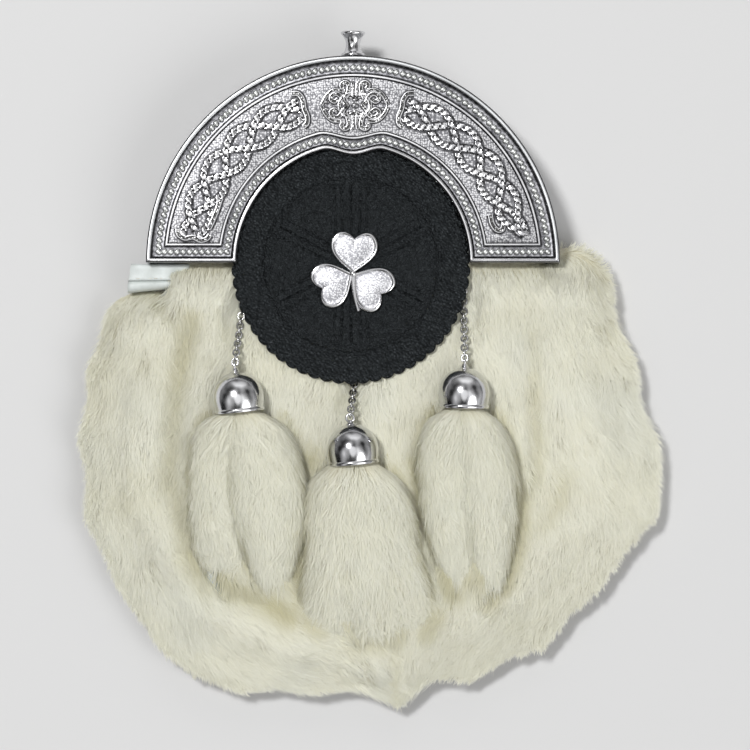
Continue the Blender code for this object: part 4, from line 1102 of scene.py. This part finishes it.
def driftAt(points, size, seed):
    # smooth random values from 0 to 1 over squares of that size
    table = np.random.default_rng(seed).random((64, 64))
    at = points / size + 31.5
    cell = np.floor(at).astype(int) % 63
    f = at - np.floor(at)
    f = f * f * (3 - 2 * f)
    i, j = cell[:, 0], cell[:, 1]
    low = table[i, j] * (1 - f[:, 0]) + table[i + 1, j] * f[:, 0]
    high = table[i, j + 1] * (1 - f[:, 0]) + table[i + 1, j + 1] * f[:, 0]
    return low * (1 - f[:, 1]) + high * f[:, 1]


def topOf(tree, x, y):
    return tree.ray_cast(Vector((x, y, 60.0)), Vector((0, 0, -1)))[0]


def neighbours(levels):
    padded = np.pad(levels, 1, constant_values=np.nan)
    return [padded[1:-1, :-2], padded[1:-1, 2:], padded[:-2, 1:-1], padded[2:, 1:-1]]


def levelGrid(bm, low, high, step, drop):
    # the pelt's top level over a grid, falling away past its edge
    tree = BVHTree.FromBMesh(bm)
    xs, ys = np.arange(low[0], high[0], step), np.arange(low[1], high[1], step)
    cells = np.stack(np.meshgrid(xs, ys, indexing="ij"), axis=-1).reshape(-1, 2)
    tops = [topOf(tree, x, y) for x, y in cells]
    levels = np.array([np.nan if top is None else top.z for top in tops]).reshape(len(xs), len(ys))
    added = extraLevel(cells).reshape(levels.shape)
    blend = np.clip((added - np.nan_to_num(levels, nan=-9.0) + 4.0) / 4.0, 0, 1)
    levels = np.where(added > np.nan_to_num(levels, nan=0.0), added, levels)
    soft = levels
    for _ in range(4):  # the added fur eases into the coat
        near = np.stack([*neighbours(soft), soft])
        soft = np.where(np.isnan(levels), np.nan, np.nanmean(np.where(np.isnan(near).all(0), 0.0, near), axis=0))
    levels = levels + (soft - levels) * blend
    levels += (0.8 * driftAt(cells, 12.0, 3) + 0.5 * driftAt(cells, 6.0, 5)).reshape(levels.shape)
    levels = np.minimum(levels, chainPress(cells).reshape(levels.shape))
    inside = ~np.isnan(levels)
    away = np.where(inside, 0.0, 99.0)
    for ring in range(int(18 / step)):
        around = np.stack(neighbours(levels))
        some = ~np.isnan(around).all(0) & np.isnan(levels)
        levels[some] = np.nanmean(around[:, some], axis=0) - drop * step
        away[some] = (ring + 1) * step
    levels = np.maximum(np.nan_to_num(levels, nan=0.6), 0.6)
    return {"low": np.array(low, float), "step": step, "levels": levels, "inside": inside, "away": away}


extraStrips = ((-64.5, -35.5), (35.5, 72.5))  # from x to x, under the cantle's ends
moundShares = (0.0, 0.15, 0.3, 0.45, 0.6, 0.7, 0.8, 0.87, 0.93, 0.97, 0.995, 0.97, 0.0)


def addExtraPelt(bm, grid):
    # skin under the added fur, a little lower than its level: two flat strips and two mounds
    def addSkin(x, y, closed=False):
        spots = np.stack([x, y], axis=-1).reshape(-1, 2)
        tops = np.maximum(np.minimum(extraLevel(spots), sampleGrid(grid, spots) - 0.9), 2.0).reshape(x.shape)
        if closed:
            tops[:, -2:] = 1.2
        columns, rows = x.shape
        bentGrid(bm, columns - 1, rows - 1, lambda i, j: Vector((x[i, j], y[i, j], tops[i, j])))

    for low, high in extraStrips:
        addSkin(*np.meshgrid(np.arange(low, high + 0.5), np.arange(-26.5, 1.0), indexing="ij"))
    turn, shares = math.tau * np.arange(61)[:, None] / 60, np.array(moundShares)
    for mound in mounds.values():
        reach = np.where(np.sin(turn) > 0, mound["up"], mound["down"])
        x = mound["centre"][0] + mound["across"] * np.cos(turn) * shares
        addSkin(x, mound["centre"][1] + reach * np.sin(turn) * shares, closed=True)


def sampleGrid(grid, points):
    at = (points - grid["low"]) / grid["step"]
    size = np.array(grid["levels"].shape) - 2
    cell = np.clip(at.astype(int), 0, size)
    f = np.clip(at - cell, 0, 1)
    z = grid["levels"]
    i, j = cell[:, 0], cell[:, 1]
    return (
        z[i, j] * (1 - f[:, 0]) * (1 - f[:, 1]) + z[i + 1, j] * f[:, 0] * (1 - f[:, 1])
        + z[i, j + 1] * (1 - f[:, 0]) * f[:, 1] + z[i + 1, j + 1] * f[:, 0] * f[:, 1]
    )


def nearGrid(grid, key, points):
    at = np.round((points - grid["low"]) / grid["step"]).astype(int)
    at = np.clip(at, 0, np.array(grid[key].shape) - 1)
    return grid[key][at[:, 0], at[:, 1]]


def tufts(cell, seed, kinds, primes=(73856093, 19349663), extra=0):
    # random values that all the strands of one cell share
    key = (cell[:, 0] * primes[0] ^ cell[:, 1] * primes[1] ^ extra) % 65536
    return np.random.default_rng(seed).normal(0, 1, (65536, kinds))[key]


ribbonTones = {"light": (0.0, 0.0, 0.7, 0.7, 1.0), "warm": (1.0, 1.0, 0.85, 0.85, 0.5)}  # foot, middle and tip


def strandMesh(name, lines, normals, widths, tones):
    # ribbons of two spans, each drawn to a point, joined in one mesh
    count = len(lines)
    along = unit(np.gradient(lines, axis=1))
    roll = np.clip(rng.normal(0, 0.28, count), -0.6, 0.6)[:, None, None]
    across = unit(np.cross(along, normals)) * np.cos(roll) + normals * np.sin(roll)
    half = widths[:, None, None] / 2 * np.array([0.8, 1.0])[None, :, None] * across[:, :2]
    verts = np.empty((count, 5, 3))
    verts[:, 0:4:2] = lines[:, :2] - half
    verts[:, 1:4:2] = lines[:, :2] + half
    verts[:, 4] = lines[:, 2]
    verts[..., 1] += rise
    verts *= mm
    loops = ((np.arange(count) * 5)[:, None] + np.array([0, 1, 3, 2, 2, 3, 4])).ravel()
    starts = (np.arange(count)[:, None] * 7 + np.array([0, 4])).ravel()
    mesh = bpy.data.meshes.new(name)
    mesh.vertices.add(count * 5)
    mesh.vertices.foreach_set("co", verts.ravel())
    mesh.loops.add(count * 7)
    mesh.loops.foreach_set("vertex_index", loops.astype(np.int32))
    mesh.polygons.add(count * 2)
    mesh.polygons.foreach_set("loop_start", starts.astype(np.int32))
    mesh.update(calc_edges=True)
    mesh.validate()
    values = np.ones((count, 5, 4))
    values[:, :, 0] = np.array(ribbonTones["light"]) * tones[:, None, 0]
    values[:, :, 1] = np.array(ribbonTones["warm"]) * tones[:, None, 1]
    values[:, :, 2] = tones[:, None, 2]
    mesh.attributes.new("furTone", "FLOAT_COLOR", "POINT").data.foreach_set("color", values.ravel())
    layer = mesh.uv_layers.new(name="OFBake", do_init=False)  # seen from above
    flatSpots = verts.reshape(-1, 3)[loops][:, :2]
    low, high = flatSpots.min(0), flatSpots.max(0)
    layer.uv.foreach_set("vector", ((flatSpots - low) / (high - low)).astype(np.float32).ravel())
    mesh.shade_smooth()
    ribbon = np.cross(across[:, :2], along[:, :2])
    ribbon *= np.sign((ribbon * normals[:, :2]).sum(2))[..., None]
    softNormals = np.repeat(normals[:, :1] * 0.75, 5, axis=1)
    softNormals[:, 0:4:2] += ribbon * 0.45
    softNormals[:, 1:4:2] += ribbon * 0.45
    mesh.normals_split_custom_set_from_vertices(unit(softNormals).reshape(-1, 3).tolist())
    linkPiece(name, mesh, [strandFur], "rabbit_fur")


def combHair(roots, grid):
    # the way each strand lies: with the flow, out over the sides, and outward round the hump's top
    flow, out = flowAt(roots), unit(roots - np.array(furShape["hub"]))
    side = ~nearGrid(grid, "inside", roots + out * 5.0) & (roots[:, 1] < -6)
    flow = flow + out * np.where(side, 0.45, 0.0)[:, None]
    hump = mounds["hump"]
    crown = (roots - hump["centre"]) / [hump["across"], hump["up"]]
    crownOut = np.linalg.norm(crown, axis=1)[:, None]
    share = np.clip((crownOut - 0.78) / 0.22, 0, 1) * np.clip((roots[:, 1:] + 10) / 10, 0, 1) * (crown[:, :1] > -0.25)
    flow = flow * (1 - share) + (crown / np.maximum(crownOut, 0.1) + [0.5, 0.0]) * share
    return unit(flow), share[:, 0]


def pressHair(spots, level):
    # hair stays under the flap and behind the cantle
    under = np.linalg.norm(spots - np.array(flapShape["centre"]), axis=1) < flapShape["radius"] + 0.4
    level = np.where(under, np.minimum(level, flapShape["under"] - 0.5), level)
    behind = (spots[:, 1] > -0.2) & (np.linalg.norm(spots, axis=1) < cantle["radius"] + 0.6)
    return np.where(behind, np.minimum(level, 15.0), level)


def coatStrands(grid):
    roots = rng.uniform(furShape["low"], furShape["high"], (int(furShape["strands"] * 1.9), 2))
    flapOff = np.linalg.norm(roots - np.array(flapShape["centre"]), axis=1)
    roots = roots[nearGrid(grid, "inside", roots) & (flapOff > 34)][:furShape["strands"]]
    count = len(roots)
    flow, crownShare = combHair(roots, grid)
    # tufts: each strand leans to the middle of its tuft, and a tuft shares its heading and shade
    cell = np.floor(roots / furShape["clump"] + rng.uniform(0, 0.35, (count, 2))).astype(int)
    tuft = tufts(cell, 7, 5)
    bigTuft = tufts(np.floor(roots / 9.0).astype(int), 7, 5, primes=(83492791, 29349671))
    turn = np.radians(tuft[:, 0] * 7 + bigTuft[:, 0] * 8 + rng.normal(0, 9, count))
    cosine, sine = np.cos(turn), np.sin(turn)
    flow = np.stack([flow[:, 0] * cosine - flow[:, 1] * sine, flow[:, 0] * sine + flow[:, 1] * cosine], axis=1)
    middle = (cell + 0.5 + tuft[:, 1:3] * 0.22) * furShape["clump"]
    length = rng.uniform(*furShape["length"], count) * (1 + 0.12 * bigTuft[:, 1]) * (1 - 0.55 * crownShare)
    for _ in range(2):  # hair reaches a little past the pelt's edge and no more
        over = nearGrid(grid, "away", roots + flow * length[:, None]) - rng.uniform(0.6, 2.6, count)
        length = np.maximum(length - np.clip(over, 0, 8), 3.0)
    lines = np.empty((count, 3, 3))
    bend = rng.normal(0, 0.12, count)[:, None] * np.stack([-flow[:, 1], flow[:, 0]], axis=1)
    lift = (0.6 + 0.35 * rng.random(count) + 0.12 * np.clip(tuft[:, 3], -1, 1)) * furShape["inset"]
    beside = tasselNear(roots + flow * (length * 0.5)[:, None])
    for k, (share, height) in enumerate(zip(strandShares, (-0.25, 1.0, 0.8))):
        spots = roots + flow * (length * share)[:, None] + bend * (length * share * share)[:, None]
        goal = middle + flow * (length * share)[:, None]
        spots += (goal - spots) * furShape["pull"] * share
        lines[:, k, :2] = spots
        lines[:, k, 2] = pressHair(spots, sampleGrid(grid, spots) + 1.5 * beside + height * lift)
    slopes = [sampleGrid(grid, roots + step) - sampleGrid(grid, roots - step) for step in np.eye(2) * 1.5]
    normal = np.stack([-slopes[0] / 3, -slopes[1] / 3, np.ones(count)], axis=1)
    normal[:, :2] = np.clip(normal[:, :2], -1.6, 1.6)
    normals = np.repeat(unit(normal)[:, None], 3, axis=1)
    # tan painted shade in the creases and beside the tassels
    warm = np.maximum(creaseAt(lines[:, 1, :2], paintedShade=True), 0.6 * beside)
    tones = np.stack([
        np.clip(0.93 + 0.08 * tuft[:, 4] + 0.06 * rng.normal(0, 1, count), 0.5, 1.0),
        np.clip(warm + 0.3 * np.clip(driftAt(roots, 22.0, 8) - 0.5, 0, 1) + 0.04 * rng.random(count), 0, 0.95),
        np.clip(0.8 * (driftAt(roots, 17.0, 9) - 0.5), 0, 0.4),
    ], axis=1)
    widths = furShape["width"] * rng.uniform(0.6, 1.15, count)
    hub = furShape["hub"]
    order = np.argsort(np.arctan2(roots[:, 1] - hub[1], roots[:, 0] - hub[0]))
    for i, part in enumerate(np.array_split(order, furShape["pieces"])):
        strandMesh(f"coat_hair_{i + 1}", lines[part], normals[part], widths[part], tones[part])


def tasselNear(points):
    # how close each place is to a tassel's outline, where the coat stands up and gets tan painted shade
    close = np.zeros(len(points))
    t = np.tile(np.linspace(0.08, 1.0, 24), 2)
    turn = np.repeat([0.0, math.pi], 24)
    for side, locks in tasselLocks.items():
        for lock in locks:
            edge = lockPoints(side, lock, t, turn, np.zeros_like(t))[0][:, :2]
            away = np.min([np.hypot(points[:, 0] - x, points[:, 1] - y) for x, y in edge], axis=0)
            close = np.maximum(close, np.exp(-((away / 3.2) ** 2)))
    return close


def coatLevel(x, y):
    # the level of the fur that the tassels lie on
    away = np.clip(1 - (x / 80.0) ** 2 - ((y + 95.0) / 45.0) ** 2, 0, 1)
    return 20.5 + 4.5 * away**2


lockShapes = {  # share of the length, share of the width, share of the depth
    "point": ((0, 0.4, 0.8), (0.05, 0.72, 0.95), (0.12, 0.87, 1), (0.28, 1, 1), (0.5, 0.98, 0.95), (0.68, 0.88, 0.8),
              (0.83, 0.7, 0.56), (0.94, 0.5, 0.36), (1, 0.36, 0.22), (1.08, 0.26, 0.12)),
    "blunt": ((0, 0.4, 0.8), (0.05, 0.72, 0.95), (0.12, 0.87, 1), (0.28, 1, 1), (0.5, 1, 0.95), (0.75, 0.96, 0.8),
              (0.9, 0.86, 0.5), (1, 0.72, 0.26), (1.08, 0.6, 0.12)),
    "broom": ((0, 0.36, 0.8), (0.06, 0.56, 1), (0.15, 0.72, 1), (0.35, 0.85, 1), (0.6, 0.94, 0.9), (0.8, 1, 0.66),
              (0.92, 0.99, 0.42), (1, 0.92, 0.24), (1.08, 0.84, 0.12)),
}
lockColumns = ("tip", "width", "depth", "side", "lift", "form")  # side: how far it bows, lift: over the others
lockRows = {
    "left": (((-44.5, -106.0), 21, 12, -4.6, 0.0, "blunt"), ((-28.5, -111.5), 25.5, 14, 4.4, 1.0, "point")),
    "middle": (
        ((6.0, -128.5), 43, 14, 0.0, 0.0, "broom"), ((-8.5, -127.5), 15, 12, -1.0, 1.2, "broom"),
        ((8.0, -130.0), 17, 12, 1.0, 1.6, "broom"), ((22.0, -125.5), 14, 11, 2.0, 0.9, "broom"),
    ),
    "right": (((37.4, -111.0), 18, 12, -5.6, 0.4, "point"), ((48.2, -111.5), 19, 13, 4.0, 0.8, "point")),
}
tasselLocks = {side: [dict(zip(lockColumns, row)) for row in rows] for side, rows in lockRows.items()}


def lockPoints(side, lock, t, turn, lift):
    # places on a lock at a share of its length and a turn about it, raised from its skin
    head = np.array(capFrame(tassels[side]) @ Vector((0, 0, capShape["start"] + capShape["length"] - 1.0)))
    tip = np.array(lock["tip"])
    form = np.array(lockShapes[lock["form"]])
    full = np.clip(t, 0, 1.08)
    wide = np.interp(full, form[:, 0], form[:, 1]) * lock["width"] / 2
    deep = np.interp(full, form[:, 0], form[:, 2]) * lock["depth"] / 2
    wide *= 1 + 0.04 * np.sin(9 * full + tip[0]) * np.clip(full * 4, 0, 1)
    x = head[0] + (tip[0] - head[0]) * t + lock["side"] * np.sin(np.pi * np.clip(full, 0, 1) ** 0.6) ** 0.8
    y = head[1] + (tip[1] - head[1]) * t
    blend = np.clip(t / 0.4, 0, 1)
    level = coatLevel(x, y) + deep - 5.0
    z = head[2] * (1 - blend) + level * blend + lock["lift"] * np.clip(t * 4, 0, 1)
    across, up = np.cos(turn), np.sin(turn)
    reach = lift * np.clip(wide / 2.0, 0.15, 1)
    spots = np.stack([x + (wide + reach) * across, y, z + (deep + reach) * up], axis=-1)
    return spots, unit(np.stack([across * (deep + 1), np.zeros_like(across), up * (wide + 1)], axis=-1))


def tasselPelt(side):
    bm = bmesh.new()
    columns, rows = 40, 22
    for lock in tasselLocks[side]:
        shares, turns = np.linspace(-0.05, 0.95, columns + 1), np.linspace(0, math.tau, rows + 1)
        t, turn = np.meshgrid(shares, turns, indexing="ij")
        spots, _ = lockPoints(side, lock, t, turn, np.full_like(t, -tasselShape["inset"]))
        for end in (0, -1):
            spots[end] = spots[end].mean(axis=0)
        bentGrid(bm, columns, rows, lambda column, row: Vector(spots[column, row]))
    finishPiece(f"tassel_{side}_pelt", bm, [peltFur], "rabbit_fur", (f"tassel_{side}",), sharp=180)


def tasselStrands(side):
    total = sum(lock["width"] for lock in tasselLocks[side])
    parts = []
    for number, lock in enumerate(tasselLocks[side]):
        count, broom = int(tasselShape["strands"] * lock["width"] / total), lock["form"] == "broom"
        form = np.array(lockShapes[lock["form"]])
        t = rng.uniform(0.0, 0.99, count * 2)
        t = t[rng.random(count * 2) < np.interp(t, form[:, 0], form[:, 1]) + 0.25][:count]
        count = len(t)
        turn = rng.uniform(-0.12, 1.12, count) * math.pi
        cell = np.stack([np.floor(t * 22 + rng.uniform(0, 0.4, count)), np.floor(turn * 3.2)], axis=1).astype(int)
        tuft = tufts(cell, 9 + number, 4, extra=number * 83492791)
        length = rng.uniform(*tasselShape["length"], count) / 66.0
        across = np.cos(turn) ** 2 if broom else 0.0
        end = 1.02 - 0.07 * across + 0.03 * tuft[:, 3] + 0.06 * rng.normal(0, 1, count)
        length = np.minimum(length, np.maximum(end - t, 0.04))
        drift = (0.2 * tuft[:, 0] + 0.26 * rng.normal(0, 1, count)) * (0.6 if broom else 1.0)
        lift = tasselShape["inset"] * (0.5 + 0.9 * rng.random(count) ** 2 + 0.3 * tuft[:, 1])
        flare = tasselShape["flare"] * rng.random(count) ** 2 * (0.3 + 0.7 * np.abs(np.cos(turn)))
        lines, normals = np.empty((count, 3, 3)), np.empty((count, 3, 3))
        for k, (share, level) in enumerate(zip(strandShares, (-0.2, 0.9, 0.95))):
            height = lift * level + flare * share**2
            lines[:, k], normals[:, k] = lockPoints(side, lock, t + length * share, turn + drift * share, height)
        # the lock's sides are tinted tan as painted shade where it meets the coat and the next lock
        seam = np.clip(1 - np.sin(turn) * 1.8, 0, 1) * np.clip(t * 5, 0, 1)
        tones = np.stack([
            np.clip(0.97 + 0.05 * tuft[:, 2] + 0.05 * rng.normal(0, 1, count), 0.5, 1.0),
            np.clip(0.75 * seam + 0.03 * rng.random(count), 0, 0.8),
            np.clip(0.08 + 0.1 * tuft[:, 3], 0, 0.4),
        ], axis=1)
        parts.append((lines, normals, tones))
    lines, normals, tones = (np.concatenate(values) for values in zip(*parts))
    widths = tasselShape["width"] * rng.uniform(0.6, 1.15, len(lines))
    strandMesh(f"tassel_{side}_hair", lines, normals, widths, tones)


def coverPouch(bm):
    # where a crease sinks to the leather, the pelt stays over it
    leather = bmesh.new()
    leather.from_mesh(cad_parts["pouch_body"].data)
    bmesh.ops.transform(leather, matrix=toRow.inverted(), verts=leather.verts)
    tree, cover = BVHTree.FromBMesh(leather), 0.7
    leather.free()
    for vert in bm.verts:
        if vert.normal.z < 0.25 or vert.co.z < 8:
            continue
        hit = topOf(tree, vert.co.x, vert.co.y)
        if hit is not None and hit.z - 5 < vert.co.z < hit.z + cover:
            vert.co.z = hit.z + cover


coat = softPelt("fur_coat", "coat_pelt", 1.8, 6)
shapeCoat(coat)
coverPouch(coat)
grid = levelGrid(coat, (-112.0, -172.0), (122.0, 36.0), 1.0, 0.75)
addExtraPelt(coat, grid)
coatStrands(grid)
finishPiece("coat_pelt", coat, [peltFur], "rabbit_fur", ("fur_coat",), sharp=180)
print("coat made")
for side in tassels:
    tasselPelt(side)
    tasselStrands(side)
print("tassels made")


# Floor and light
studio = {
    "floor": 0.59, "sky": 0.62, "overhead": 1.05, "patches": 1.3, "aim": (0.0, 0.05, 0.0),
    "lights": {"key": ((-0.8, 0.8, 2.35), 0.45, 48.0), "fill": ((1.3, -0.9, 1.6), 1.6, 15.0)},  # place, size, power
}


def pageFloor():
    material, tree, shader = newMaterial("floor", (studio["floor"],) * 3, 0.9)
    feed(tree, shader, {"Specular IOR Level": 0.1})
    bm = bmesh.new()
    bmesh.ops.create_grid(bm, x_segments=1, y_segments=1, size=3.0)
    mesh = bpy.data.meshes.new("floor")
    bm.to_mesh(mesh)
    bm.free()
    mesh.materials.append(material)
    addObject("floor", mesh)


def areaLight(name, place, size, power):
    data = bpy.data.lights.new(name, "AREA")
    data.shape = "DISK"
    data.size = size
    data.energy = power
    light = addObject(name, data)
    light.location = place
    light.rotation_euler = (Vector(studio["aim"]) - Vector(place)).to_track_quat("-Z", "Y").to_euler()


def studioWorld():
    # a dim room with brighter and darker patches, for the metal to show
    world = bpy.data.worlds.new("studio")
    bpy.context.scene.world = world
    world.use_nodes = True
    tree, sky = world.node_tree, studio["sky"]
    coords = addNode(tree, "TexCoord", {}).outputs["Generated"]
    tones = ((0.36, (0.02,) * 3), (0.46, (sky * 0.6,) * 3), (0.54, (sky,) * 3), (0.66, (sky * 2.4,) * 3))
    shade = colourRamp(tree, noiseOf(tree, coords, studio["patches"], 1.0), tones)
    height = addNode(tree, "SeparateXYZ", {0: coords}).outputs["Z"]
    top = spread(tree, height, 0.0, 1.0, (0.955, 0.975))
    whole = mixColour(tree, top, shade, (studio["overhead"],) * 3 + (1.0,))
    feed(tree, tree.nodes["Background"], {"Color": whole, "Strength": spread(tree, height, 0.25, 1.0, (0.1, 0.75))})


pageFloor()
studioWorld()
for name, (place, size, power) in studio["lights"].items():
    areaLight(name, place, size, power)
print("studio lit")
